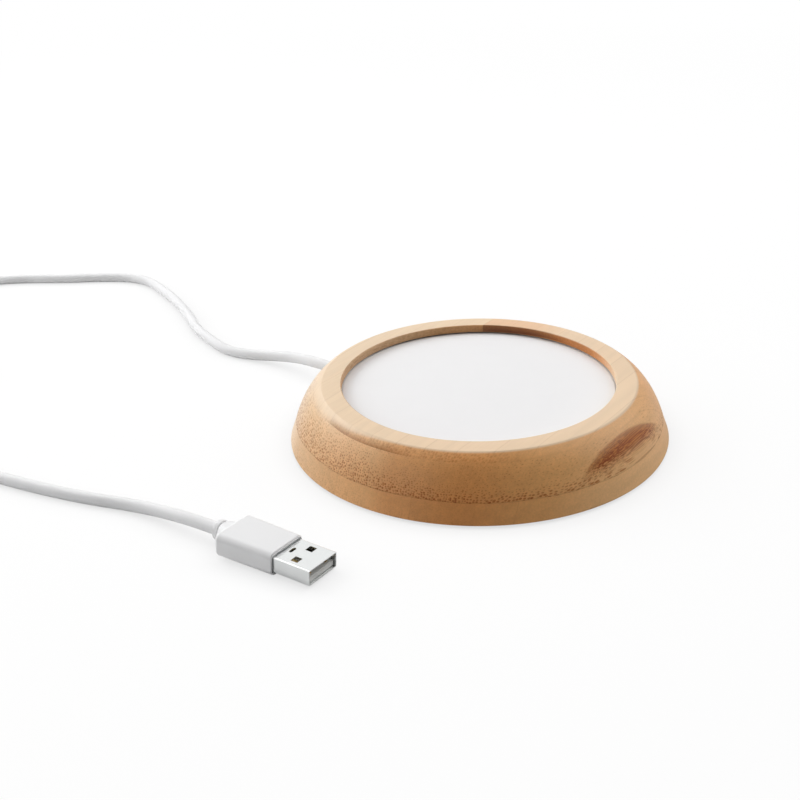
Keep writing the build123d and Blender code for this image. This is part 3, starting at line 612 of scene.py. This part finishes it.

# %% [markdown]
# ### The tones of the wood
# No two culms have one colour, and every strip is a little lighter or darker than the next. A colour ramp
# across the board runs from caramel to pale straw. It is laid so that the darkest, most saturated caramel
# falls on the front as painted shade, and the pale straw falls on the left as painted light, where the light
# from the left is strongest. End grain soaks up more lacquer than the sides of the fibres, so it is darker:
# that is where the surface looks along the grain, and its own normal tells. Slow bands, fine fibres and a
# grit run through it all.

# %% Tones
TONES_FROM = -60.0  # the ramp runs across the grain from here
TONES_TO = 60.0
# The dark caramel near -28, at the front, is painted shade. The pale straw towards 50, at the left, is
# painted light.
PITH_TONES_AND_PAINTED_LIGHT = {  # place across the grain: colour
    -60.0: (0.86, 0.510, 0.235),
    -44.0: (0.82, 0.430, 0.165),
    -28.0: (0.76, 0.365, 0.130),
    -8.0: (0.76, 0.410, 0.178),
    3.0: (0.82, 0.515, 0.262),
    30.0: (0.81, 0.565, 0.335),
    50.0: (0.83, 0.670, 0.500),
}
END_TINT = (0.90, 0.78, 0.66, 1.0)
END_LOOK = (0.35, 1.05)  # the normal's share on the grain, from no end grain to all
STRIP_CHANGE = 0.07  # how much lighter or darker one strip can be than another
STRIP_TONE = 0.80  # the tone of a plain strip, without its bands and fibres
BAND_SIZE = {"Width": 2.4, "Length": 70.0}
BAND_CHANGE = 0.26
FIBRE_SIZE = {"Width": 0.3, "Length": 34.0}
FIBRE_CHANGE = 0.14
GRIT = {"Size": 0.6, "Amount": 0.16}
LAYER_NUMBER = 17.0  # more than a layer has strips, so that no two share a number


def read_board(tree):
    """All that a point of the wood knows of itself: its place, its strip, and its band and fibre."""
    layers = use_group(tree, LAYERS, {"Vector": in_millimetres(tree)})
    names = ("Place", "Layer", "Rise", "Strip", "Joint")
    board = SimpleNamespace(tree=tree, **{name.lower(): layers[name] for name in names})
    parts = add(tree, "SeparateXYZ", {"Vector": board.place}).outputs
    board.along, board.across, board.height = parts["X"], parts["Y"], parts["Z"]
    board.band = use_group(tree, LINES, {"Vector": board.place, **BAND_SIZE})["Lines"]
    board.fibres = use_group(tree, LINES, {"Vector": board.place, **FIBRE_SIZE})["Lines"]
    board.in_middle = maths(tree, "LESS_THAN", maths(tree, "ABSOLUTE", board.layer), 0.5)
    board.in_upper = maths(tree, "GREATER_THAN", board.layer, 0.5)
    return board


def tone_ramp_with_painted_light(tree, across):
    """Ramp through the tones by the place across the grain: its dark front is painted shade and its pale left
    is painted light.
    """
    spread = TONES_TO - TONES_FROM
    share = maths(tree, "DIVIDE", maths(tree, "SUBTRACT", across, TONES_FROM), spread)
    ramp = add(tree, "ValToRGB", {"Fac": share})
    ramp.color_ramp.interpolation = "EASE"
    stops = ramp.color_ramp.elements
    for index, (place, colour) in enumerate(PITH_TONES_AND_PAINTED_LIGHT.items()):
        where = (place - TONES_FROM) / spread
        stop = stops[index] if index < 2 else stops.new(where)
        stop.position = where
        stop.color = (*colour, 1.0)
    return ramp.outputs["Color"]


def end_grain(tree):
    """The normal's share on the grain: 1 where the surface looks along the fibres, 0 where it runs along."""
    normal = add(tree, "TexCoord").outputs["Normal"]
    fibre = (cos(radians(GRAIN)), sin(radians(GRAIN)), 0.0)
    share = vector_maths(tree, "DOT_PRODUCT", normal, fibre, result=1)
    return smooth_step(tree, maths(tree, "ABSOLUTE", share), *END_LOOK)


def pith_and_painted_light(board):
    """The ramp's colour, with its painted shade and light, times a tone: the strip's own, plus the bands and
    fibres, times the grit.
    """
    tree = board.tree
    number = maths(tree, "MULTIPLY_ADD", board.layer, LAYER_NUMBER, board.strip)
    chance = add(tree, "TexWhiteNoise", {"W": number}, noise_dimensions="1D").outputs["Value"]
    tone = maths(tree, "MULTIPLY_ADD", chance, STRIP_CHANGE, STRIP_TONE - STRIP_CHANGE / 2)
    tone = maths(tree, "MULTIPLY_ADD", board.fibres, FIBRE_CHANGE, tone)
    tone = maths(tree, "MULTIPLY_ADD", board.band, BAND_CHANGE, tone)
    grit = use_group(tree, MOTTLE, {"Vector": board.place, **GRIT})["Tone"]
    wood = toned(tree, tone_ramp_with_painted_light(tree, board.across), product(tree, tone, grit))
    return tinted(tree, end_grain(tree), wood, END_TINT)


print(len(PITH_TONES_AND_PAINTED_LIGHT), "tones across the board")

# %% [markdown]
# ### What lies in the pith
# Four things darken the pith: the bundles, which crowd at the foot of each layer, the skin left there, the
# thin joints, and one strip of heartwood. Each is a mask, made of steps along, across and up the board. A
# step is where it starts and ends, and its value before and after, if not 0 and 1.

# %% Bundles, skin and joints
BUNDLE_TINT = (0.54, 0.31, 0.16, 1.0)  # what a bundle takes from the pith's colour
SKIN_TINT = (0.60, 0.50, 0.42, 1.0)
JOINT_TINT = (0.70, 0.60, 0.52, 1.0)
CROWD_REACH = (-38.0, 0.5, 0.42, 0.80)  # across: the share of a layer's height in which bundles crowd
CROWD_LEFT = (0.4, 1.2, 0.0, 0.6)  # across: how much further they reach in the strips at the left
CROWD_FADE = (0.05, 1.0, 1.0, 0.0)  # over that reach, from the foot up
BUNDLE_RADIUS = (0.22, 0.17)  # what crowding adds, and the radius without it, in pitches
BUNDLE_DEPTH = (0.38, 0.30)  # the same for how dark they are
CHANCE_DEPTH = (0.8, 0.6)  # and how much darker chance makes one
OUTER_LAYERS = (-40.0, -30.0, 0.0, 0.4)  # across: how much they show above and below the middle layer
FAR_END = (-5.0, 30.0, 1.0, 0.6)  # along
SKIN_RISE = (0.008, 0.06, 1.0, 0.0)  # in layers, from the glue line up
SKIN_AMOUNT = 0.42
SKIN_LESS = -0.28  # on the upper glue line
JOINT_AMOUNT = 0.22


def bundle_spots(board):
    """The bundles' dots, times their depth, which grows with crowding and chance and falls to the far end."""
    tree = board.tree
    reaches = [smooth_step(tree, board.across, *step) for step in (CROWD_REACH, CROWD_LEFT)]
    reach = maths(tree, "ADD", *reaches)
    crowd = smooth_step(tree, maths(tree, "DIVIDE", board.rise, reach), *CROWD_FADE)
    radius = maths(tree, "MULTIPLY_ADD", crowd, *BUNDLE_RADIUS)
    bundles = use_group(tree, BUNDLES, {"Place": board.place, "Layer": board.layer, "Radius": radius})
    depth = maths(tree, "MULTIPLY_ADD", crowd, *BUNDLE_DEPTH)
    shown = maths(tree, "MAXIMUM", board.in_middle, smooth_step(tree, board.across, *OUTER_LAYERS))
    luck = maths(tree, "MULTIPLY_ADD", bundles["Chance"], *CHANCE_DEPTH)
    return product(tree, bundles["Dots"], depth, shown, luck, smooth_step(tree, board.along, *FAR_END))


def glued(board, wood):
    """The wood with the skin left at the foot of each layer, and with the joints between strips."""
    tree = board.tree
    amount = maths(tree, "MULTIPLY_ADD", board.in_upper, SKIN_LESS, SKIN_AMOUNT)
    foot = product(tree, smooth_step(tree, board.rise, *SKIN_RISE), amount)
    wood = tinted(tree, foot, wood, SKIN_TINT)
    return tinted(tree, product(tree, board.joint, JOINT_AMOUNT), wood, JOINT_TINT)


print("bundles up to", round(sum(BUNDLE_RADIUS) * BUNDLE_PITCH, 2), "mm in radius")

# %% Heartwood and smear
HEART_DARK = (0.25, 0.050, 0.001, 1.0)
HEART_LIGHT = (0.50, 0.160, 0.022, 1.0)  # its paler streaks
HEART_STREAKS = (0.38, 0.60)
HEART_EDGE = -52.5  # across the grain: what lies beyond this in the middle layer is dark heartwood
HEART_SLANT = 0.085  # the edge moves out by this much for each millimetre along the grain
HEART_STRAY = 0.6  # how far the edge strays with the bands
HEART_JOINT = (0.0, 0.6)  # the first three steps run outwards from the edge
HEART_START = (0.3, 1.8, 0.66, 1.0)
HEART_FAR = (2.0, 5.5, 1.0, 0.55)
HEART_FOOT = (7.8, 12.6)  # and this one upwards
HEART_RAGGED = 6.0  # how far the fibres pull its foot up and down
SMEAR_TINT = (0.62, 0.49, 0.36, 1.0)
SMEAR_RISE = (0.0, 0.19, 1.0, 0.0)  # in layers, from the glue line up
SMEAR_LEFT = (17.0, 26.0, 1.0, 0.0)
SMEAR_RIGHT = (-14.0, 0.0)


def heart_mask(board):
    """The middle layer beyond a slanting edge: soft there, fullest behind it, and ragged at its foot."""
    tree = board.tree
    edge = maths(tree, "MULTIPLY_ADD", board.along, -HEART_SLANT, HEART_EDGE - HEART_STRAY / 2)
    beyond = maths(tree, "SUBTRACT", edge, board.across)
    beyond = maths(tree, "MULTIPLY_ADD", board.band, HEART_STRAY, beyond)
    level = maths(tree, "SUBTRACT", board.height, HEART_RAGGED / 2)
    ragged = maths(tree, "MULTIPLY_ADD", board.fibres, HEART_RAGGED, level)
    outwards = [smooth_step(tree, beyond, *step) for step in (HEART_JOINT, HEART_START, HEART_FAR)]
    return product(tree, *outwards, smooth_step(tree, ragged, *HEART_FOOT), board.in_middle)


def with_heartwood(board, wood):
    """The wood, with streaked heartwood where its mask is."""
    tree = board.tree
    streaks = smooth_step(tree, board.fibres, *HEART_STREAKS)
    heart = blend_colour(tree, streaks, HEART_LIGHT, HEART_DARK)
    return blend_colour(tree, heart_mask(board), wood, heart)


def smear_mask(board):
    """A brown remainder of skin on the upper glue line, front left: full at the line, gone 2 mm above it."""
    tree = board.tree
    sides = [smooth_step(tree, board.across, *step) for step in (SMEAR_LEFT, SMEAR_RIGHT)]
    return product(tree, smooth_step(tree, board.rise, *SMEAR_RISE), board.in_upper, *sides)


print("heartwood from", HEART_EDGE, "mm across the grain")

# %% [markdown]
# ### The recess wall and the sanded top
# The wall of the recess carries painted shade, which is deepest over a stretch of strips at the back, where
# the wall faces the camera and little light reaches it. It carries painted light at the right, where it faces
# the light from the left. The flat top was sanded, so it is pale. Towards the left the pale runs down over
# the shoulder as painted light, where the light from the left falls strongest.

# %% Recess wall and sanded top
MOUTH_R = 42.8
WALL_EDGE = (MOUTH_R + 0.2, MOUTH_R + 0.6, 1.0, 0.0)  # from the axis outwards
# Painted shade on the recess wall, from the back round to the left, and painted light on its right side.
WALL_PAINTED_SHADE = (0.80, 0.66, 0.52, 1.0)
WALL_SHADE_ACROSS = (-34.0, -10.0)  # across
WALL_PAINTED_LIGHT = (0.86, 0.74, 0.55, 1.0)
WALL_LIGHT_ACROSS = (-42.0, -18.0, 0.7, 0.0)  # across
# The back strips: on the wall their tint is painted shade, and on the top SANDED_END is their own darker
# tone.
BACK_WALL_PAINTED_SHADE = (0.52, 0.42, 0.36, 1.0)
ROOT_ALONG = (24.0, 40.0)
ROOT_LEFT = (21.6, 21.9, 1.0, 0.0)
ROOT_RIGHT = (-8.0, 8.0)
SANDED_TOP = (0.83, 0.645, 0.455, 1.0)
SANDED_END = (0.82, 0.55, 0.35, 1.0)  # the same strips near their root end
SANDED_BAND = (0.16, 0.92)  # what the bands add to its tone, and the tone without them
SANDED_JOINT = 0.3
SANDED_AMOUNT = 0.9
# At the left the pale reaches down the shoulder as painted light, where the light from the left falls
# strongest. Near the rim it is the sanded top.
SANDED_AND_LIT_FROM = (-4.0, 30.0, 18.25, 15.6)  # across: the height from which it is pale
SANDED_AND_LIT_SOFT = (-4.0, 30.0, 0.5, 2.6)  # across: over how much height it grows pale
SANDED_IN_RECESS = 18.4  # the height from which it is pale on the wall


def wall_and_back_masks(board):
    """Masks of the recess wall, by the distance from the axis, and of a stretch of strips at the back."""
    tree = board.tree
    level = add(tree, "CombineXYZ", {"X": board.along, "Y": board.across}).outputs[0]
    wall = smooth_step(tree, vector_maths(tree, "LENGTH", level, result=1), *WALL_EDGE)
    sides = [smooth_step(tree, board.across, *step) for step in (ROOT_LEFT, ROOT_RIGHT)]
    return wall, product(tree, smooth_step(tree, board.along, *ROOT_ALONG), *sides)


def wall_painted_shade_and_light(board, wood, wall, root):
    """The wood with painted shade on the wall of the recess, deeper over the back strips, and painted light
    at its right.
    """
    tree = board.tree
    wall_shade_share = product(tree, wall, smooth_step(tree, board.across, *WALL_SHADE_ACROSS))
    wood = tinted(tree, wall_shade_share, wood, WALL_PAINTED_SHADE)
    wood = tinted(tree, product(tree, wall, root), wood, BACK_WALL_PAINTED_SHADE)
    wall_light_share = product(tree, wall, smooth_step(tree, board.across, *WALL_LIGHT_ACROSS))
    return blend_colour(tree, wall_light_share, wood, WALL_PAINTED_LIGHT)


def sanded_top_and_painted_light(board, wood, wall, root):
    """Pale above a height that falls to the left: the sanded top, and lower down at the left painted light
    over the shoulder. The height over it, over the softness, as a step.
    """
    tree = board.tree
    in_recess = product(tree, wall, SANDED_IN_RECESS)
    pale_from = maths(tree, "MAXIMUM", smooth_step(tree, board.across, *SANDED_AND_LIT_FROM), in_recess)
    over = maths(tree, "SUBTRACT", board.height, pale_from)
    softness = smooth_step(tree, board.across, *SANDED_AND_LIT_SOFT)
    top = smooth_step(tree, maths(tree, "DIVIDE", over, softness), 0.0, 1.0)
    pale = blend_colour(tree, root, SANDED_TOP, SANDED_END)
    pale = toned(tree, pale, maths(tree, "MULTIPLY_ADD", board.band, *SANDED_BAND))
    pale = tinted(tree, product(tree, board.joint, SANDED_JOINT), pale, JOINT_TINT)
    return blend_colour(tree, product(tree, top, SANDED_AMOUNT), wood, pale)


print("the top is pale from", SANDED_AND_LIT_FROM[2], "mm up at the right,", SANDED_AND_LIT_FROM[3], "at the left")

# %% The finish itself
BAMBOO_ROUGHNESS = (0.12, 0.38)  # what a bundle adds, and the roughness without it
BAMBOO_SPECULAR = 0.27
FIBRE_RELIEF = 0.3  # against 1 for a bundle, which lies lower than the pith
RELIEF_DEPTH = 0.012


def bamboo_finish():
    """Pith with its painted shade and light, bundles, skin and joints, heartwood, wall with painted shade and
    light, sanded top with painted light at the left, and smear, one over the other.
    """
    material, tree, shader = new_material("bamboo")
    board = read_board(tree)
    spots = bundle_spots(board)
    wood = tinted(tree, spots, pith_and_painted_light(board), BUNDLE_TINT)
    wood = with_heartwood(board, glued(board, wood))
    wall, root = wall_and_back_masks(board)
    wood = sanded_top_and_painted_light(board, wall_painted_shade_and_light(board, wood, wall, root), wall, root)
    wire(tree, shader["Base Color"], tinted(tree, smear_mask(board), wood, SMEAR_TINT))
    wire(tree, shader["Roughness"], maths(tree, "MULTIPLY_ADD", spots, *BAMBOO_ROUGHNESS))
    shader["Specular IOR Level"].default_value = BAMBOO_SPECULAR
    pores = product(tree, spots, -1.0)
    relief = maths(tree, "MULTIPLY_ADD", board.fibres, FIBRE_RELIEF, pores)
    wire(tree, shader["Normal"], bumped(tree, relief, RELIEF_DEPTH))
    return material


FINISHES = {"bamboo": bamboo_finish()}
print("bamboo:", len(FINISHES["bamboo"].node_tree.nodes), "nodes")

# %% [markdown]
# ## The turned ring
# The ring is a surface of revolution: one closed profile in radius and height, carried round the axis. Here
# the profile gets the small roundings that sandpaper leaves at each edge, and so many steps round the axis
# that the outline stays a circle in a close view.

# %% Profile of the ring
low_corner, high_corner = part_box("bamboo_housing")
BASE_R = float(high_corner[0]) / MM
RING_LOW = float(low_corner[2]) / MM
RING_TOP = float(high_corner[2]) / MM
BAND_TOP = (58.28, 4.75)
SHOULDER_PULL = (55.2, 15.0)
RIM_R = 49.0
LIP_LOW = 16.35
POCKET_R = 47.0
POCKET_LOW = 12.4
CAVITY_R = 50.6
REBATE_R = 55.2
REBATE_TOP = 2.6
FOOT_ROUND = 0.5  # radii of the rounded edges
RIM_ROUND = 0.55
MOUTH_ROUND = 0.3


def rounded_corner(before, corner, after, radius, count=7):
    """Points of the arc of a radius that touches both sides of a corner.

    Its centre lies on the line that halves the corner, at the radius over the sine of half its angle.
    """
    corner = np.array(corner, float)
    back = np.array(before, float) - corner
    ahead = np.array(after, float) - corner
    back /= np.linalg.norm(back)
    ahead /= np.linalg.norm(ahead)
    half = np.arccos(np.clip(back @ ahead, -1, 1)) / 2
    middle = (back + ahead) / np.linalg.norm(back + ahead)
    centre = corner + middle * radius / np.sin(half)
    start = corner + back * radius / np.tan(half) - centre
    end = corner + ahead * radius / np.tan(half) - centre
    share = np.linspace(0, 1, count)[:, None]
    chord = start * (1 - share) + end * share
    return centre + chord / np.linalg.norm(chord, axis=1)[:, None] * radius


def shoulder_curve(count=44):
    """Quadratic Bezier from the band's top over the pull point to the rim."""
    share = np.linspace(0, 1, count)[:, None]
    start, pull, end = map(np.array, (BAND_TOP, SHOULDER_PULL, (RIM_R, RING_TOP)))
    return start * (1 - share) ** 2 + 2 * pull * share * (1 - share) + end * share**2


def ring_profile():
    """Closed profile, outside first and upwards: band, shoulder, flat top, mouth, and the stepped inside."""
    shoulder = shoulder_curve()
    rim = (RIM_R, RING_TOP)
    mouth = (MOUTH_R, RING_TOP)
    parts = [
        rounded_corner((REBATE_R, RING_LOW), (BASE_R, RING_LOW), BAND_TOP, FOOT_ROUND),
        shoulder[:-3],
        rounded_corner(shoulder[-4], rim, mouth, RIM_ROUND),
        rounded_corner(rim, mouth, (MOUTH_R, LIP_LOW), MOUTH_ROUND),
        [(MOUTH_R, LIP_LOW), (POCKET_R, LIP_LOW), (POCKET_R, POCKET_LOW), (CAVITY_R, POCKET_LOW)],
        [(CAVITY_R, REBATE_TOP), (REBATE_R, REBATE_TOP), (REBATE_R, RING_LOW)],
    ]
    return np.vstack(parts)


print("profile points:", len(ring_profile()))

# %% [markdown]
# ### From a profile to a mesh
# Points on a grid, one row for each step round the axis, need no list of faces: the four corners of a face
# follow from its row and column. So the mesh is built from whole arrays.

# %% From grids to meshes
SHARP = radians(35.0)  # edges that turn by more than this stay crisp


def grid_faces(rows, columns):
    """Quads of a grid that closes on itself both ways: a corner's index is row times columns plus column."""
    row = np.arange(rows)[:, None]
    column = np.arange(columns)[None, :]
    next_row = (row + 1) % rows
    next_column = (column + 1) % columns
    places = ((row, column), (next_row, column), (next_row, next_column), (row, next_column))
    corners = [np.broadcast_to(down * columns + over, (rows, columns)) for down, over in places]
    return np.stack(corners, axis=-1).reshape(-1, 4)


def mesh_piece(name, points, faces):
    """A mesh object from arrays, smooth but for its sharp edges."""
    mesh = bpy.data.meshes.new(name)
    mesh.vertices.add(len(points))
    mesh.vertices.foreach_set("co", (np.asarray(points) * MM).ravel())
    mesh.loops.add(faces.size)
    mesh.loops.foreach_set("vertex_index", faces.ravel())
    mesh.polygons.add(len(faces))
    mesh.polygons.foreach_set("loop_start", np.arange(0, faces.size, faces.shape[1]))
    mesh.update(calc_edges=True)
    mesh.shade_smooth()
    mesh.set_sharp_from_angle(angle=SHARP)
    return put_in_scene(name, mesh)


def turned_points(profile, steps):
    """Carries (radius, height) points round the Z axis: x = r cos a, y = r sin a."""
    angle = np.linspace(0, 2 * np.pi, steps, endpoint=False)[:, None]
    radius = profile[None, :, 0]
    height = np.broadcast_to(profile[None, :, 1], (steps, len(profile)))
    return np.stack([radius * np.cos(angle), radius * np.sin(angle), height], axis=-1).reshape(-1, 3)


ROUND_STEPS = 720
profile = ring_profile()
ring_faces = grid_faces(ROUND_STEPS, len(profile))
ring = mesh_piece("bamboo_ring", turned_points(profile, ROUND_STEPS), ring_faces)
print("ring faces:", len(ring.data.polygons))

# %% [markdown]
# ### The hole for the cord
# The cord leaves through a drilled hole low in the wall, at the back left. A Boolean cuts it cleanly.

# %% The drilled hole
EXIT_ANGLE = 144.0
EXIT_HEIGHT = 6.2
CORD_HOLE_R = 2.6
DRILL_PLACE = 55  # the middle of the drill, from the axis
DRILL_LENGTH = 20  # long enough to pass the wall on both sides
DRILL_SIDES = 64


def drill(piece, angle, height, radius):
    """Cuts a round hole through the wall, outwards from the axis, with a Boolean that is applied at once."""
    bpy.ops.mesh.primitive_cylinder_add(vertices=DRILL_SIDES, radius=radius * MM, depth=DRILL_LENGTH * MM)
    cutter = bpy.context.object
    turned = radians(angle)
    cutter.rotation_euler = (0.0, radians(90.0), turned)
    cutter.location = (DRILL_PLACE * cos(turned) * MM, DRILL_PLACE * sin(turned) * MM, height * MM)
    cut = piece.modifiers.new("hole", "BOOLEAN")
    cut.operation = "DIFFERENCE"
    cut.object = cutter
    cut.solver = "EXACT"
    bpy.context.view_layer.update()
    drilled = bpy.data.meshes.new_from_object(piece.evaluated_get(bpy.context.evaluated_depsgraph_get()))
    piece.modifiers.clear()
    piece.data = drilled
    bpy.data.objects.remove(cutter)
    drilled.name = piece.name
    drilled.set_sharp_from_angle(angle=SHARP)


drill(ring, EXIT_ANGLE, EXIT_HEIGHT, CORD_HOLE_R)
ring.data.materials.clear()
ring.data.materials.append(FINISHES["bamboo"])
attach(ring, BODY)
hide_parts("bamboo_housing")
print("ring faces with the hole:", len(ring.data.polygons))

# %% [markdown]
# ## Plastics, rubber and coatings
# Most of the small parts are moulded. Such a surface has one colour, a slow mottle, and the mould's fine
# skin, which breaks up its gloss. One function makes them all, with the numbers that set a rubber foot apart
# from a bright insulator. Only the cord's soft jacket also lets light through.

# %% Moulded finishes
MOULD_MOTTLE = 9.0
SKIN_GLOSS = 0.08  # how much of the skin's height goes into the roughness
SKIN_MEAN = 0.06  # and what that adds on average, taken off again
GLOW_DEPTH = 3.0  # how deep light goes into a soft jacket


def moulded_finish(name, colour, roughness, skin_size, skin_depth, tone=0.03, glow_through=0.0):
    """One colour with mottle, and a skin whose grain also varies the roughness."""
    material, tree, shader = new_material(name)
    place = in_millimetres(tree)
    shade = use_group(tree, MOTTLE, {"Vector": place, "Size": MOULD_MOTTLE, "Amount": tone})["Tone"]
    wire(tree, shader["Base Color"], toned(tree, (*colour, 1.0), shade))
    height = use_group(tree, SKIN, {"Vector": place, "Size": skin_size})["Height"]
    wire(tree, shader["Roughness"], maths(tree, "MULTIPLY_ADD", height, SKIN_GLOSS, roughness - SKIN_MEAN))
    wire(tree, shader["Normal"], bumped(tree, height, skin_depth))
    shader["Subsurface Weight"].default_value = glow_through
    shader["Subsurface Radius"].default_value = (1.0, 1.0, 1.0)
    shader["Subsurface Scale"].default_value = GLOW_DEPTH * MM
    return material


MOULDED = {  # colour, roughness, size and depth of the skin in millimetres, and what else sets it apart
    "plate_coat": ((0.87, 0.865, 0.87), 0.5, 0.35, 0.004, {"tone": 0.012}),
    "silicone": ((0.42, 0.40, 0.38), 0.6, 0.25, 0.01, {}),
    "carrier_plastic": ((0.045, 0.045, 0.05), 0.5, 0.2, 0.01, {}),
    "cutout_case": ((0.02, 0.02, 0.022), 0.35, 0.5, 0.01, {}),
    "wire_red": ((0.42, 0.02, 0.015), 0.3, 0.4, 0.004, {}),
    "wire_black": ((0.012, 0.012, 0.013), 0.3, 0.4, 0.004, {}),
    "wire_white": ((0.72, 0.72, 0.70), 0.3, 0.4, 0.004, {}),
    "sleeve": ((0.015, 0.015, 0.016), 0.55, 0.15, 0.01, {}),
    "cord_jacket": ((0.79, 0.79, 0.795), 0.6, 0.5, 0.006, {"tone": 0.015, "glow_through": 0.6}),
    "cover_plastic": ((0.66, 0.66, 0.65), 0.5, 0.22, 0.02, {}),
    "foot_rubber": ((0.23, 0.23, 0.23), 0.7, 0.3, 0.02, {"tone": 0.06}),
    "plug_white": ((0.84, 0.84, 0.845), 0.45, 0.3, 0.006, {"tone": 0.012}),
    "plug_insulator": ((0.62, 0.62, 0.60), 0.35, 0.4, 0.004, {}),
    "felt": ((0.70, 0.67, 0.58), 0.9, 0.5, 0.08, {"tone": 0.1}),
    "film": ((0.52, 0.20, 0.03), 0.25, 0.8, 0.004, {"tone": 0.05}),
    "tie_strap": ((0.7, 0.7, 0.7), 0.8, 0.4, 0.05, {"tone": 0.08}),
}
for finish_name, (*numbers, extras) in MOULDED.items():
    FINISHES[finish_name] = moulded_finish(finish_name, *numbers, **extras)
print(len(MOULDED), "moulded finishes")

# %% [markdown]
# ## Metals
# The plug's shell is bright nickel over folded sheet, the clamp parts are zinc plated, and the contacts have
# a flash of gold. A metal takes its look from what it mirrors, so the finish only has to blur the mirror
# along the direction in which the sheet was rolled.

# %% Metal finishes
LINE_LENGTH = 14.0
METAL_MOTTLE = {"Size": 4.0, "Amount": 0.04}
LINE_GLOSS = 0.16  # how much of the lines goes into the roughness, half of it taken off again


def metal_finish(name, colour, roughness, line_width, line_depth, angle=0.0):
    """Metal with rolled lines along a direction, which change roughness and height a little."""
    material, tree, shader = new_material(name)
    place = in_millimetres(tree)
    turned = add(tree, "VectorRotate", {"Vector": place, "Angle": -angle}, rotation_type="Z_AXIS").outputs[0]
    lines = use_group(tree, LINES, {"Vector": turned, "Width": line_width, "Length": LINE_LENGTH})["Lines"]
    shade = use_group(tree, MOTTLE, {"Vector": place, **METAL_MOTTLE})["Tone"]
    wire(tree, shader["Base Color"], toned(tree, (*colour, 1.0), shade))
    shader["Metallic"].default_value = 1.0
    gloss = maths(tree, "MULTIPLY_ADD", lines, LINE_GLOSS, roughness - LINE_GLOSS / 2)
    wire(tree, shader["Roughness"], gloss)
    wire(tree, shader["Normal"], bumped(tree, lines, line_depth))
    return material


METALS = {  # colour, roughness, width and depth of the lines in millimetres, and their direction
    "steel": ((0.55, 0.56, 0.58), 0.35, 0.12, 0.004, 0.0),
    "track": ((0.62, 0.36, 0.22), 0.3, 0.2, 0.002, 0.0),
    "plug_metal": ((0.83, 0.845, 0.84), 0.18, 0.09, 0.002, PLUG_YAW),
    # The gold is darker than gold plate. This is painted shade, so the contacts stay dark behind the shell's
    # windows.
    "contact_gold": ((0.60, 0.44, 0.20), 0.35, 0.08, 0.001, PLUG_YAW),
}
for finish_name, numbers in METALS.items():
    FINISHES[finish_name] = metal_finish(finish_name, *numbers)
print(len(METALS), "metal finishes")

# %% [markdown]
# ## Dressing
# Every solid names the finish that it wants, by its slot. So one loop dresses them all, also the inside, and
# whoever takes the warmer apart finds it finished.

# %% Dress every solid
for node, solid in NODES.items():
    finish = FINISHES[SLOT_OF[node]]
    if not solid.material_slots:
        solid.data.materials.append(finish)
    for place in solid.material_slots:
        place.material = finish
cord.data.materials.append(FINISHES["cord_jacket"])
print("dressed", len(NODES), "solids")

# %% Finish
bpy.context.view_layer.update()
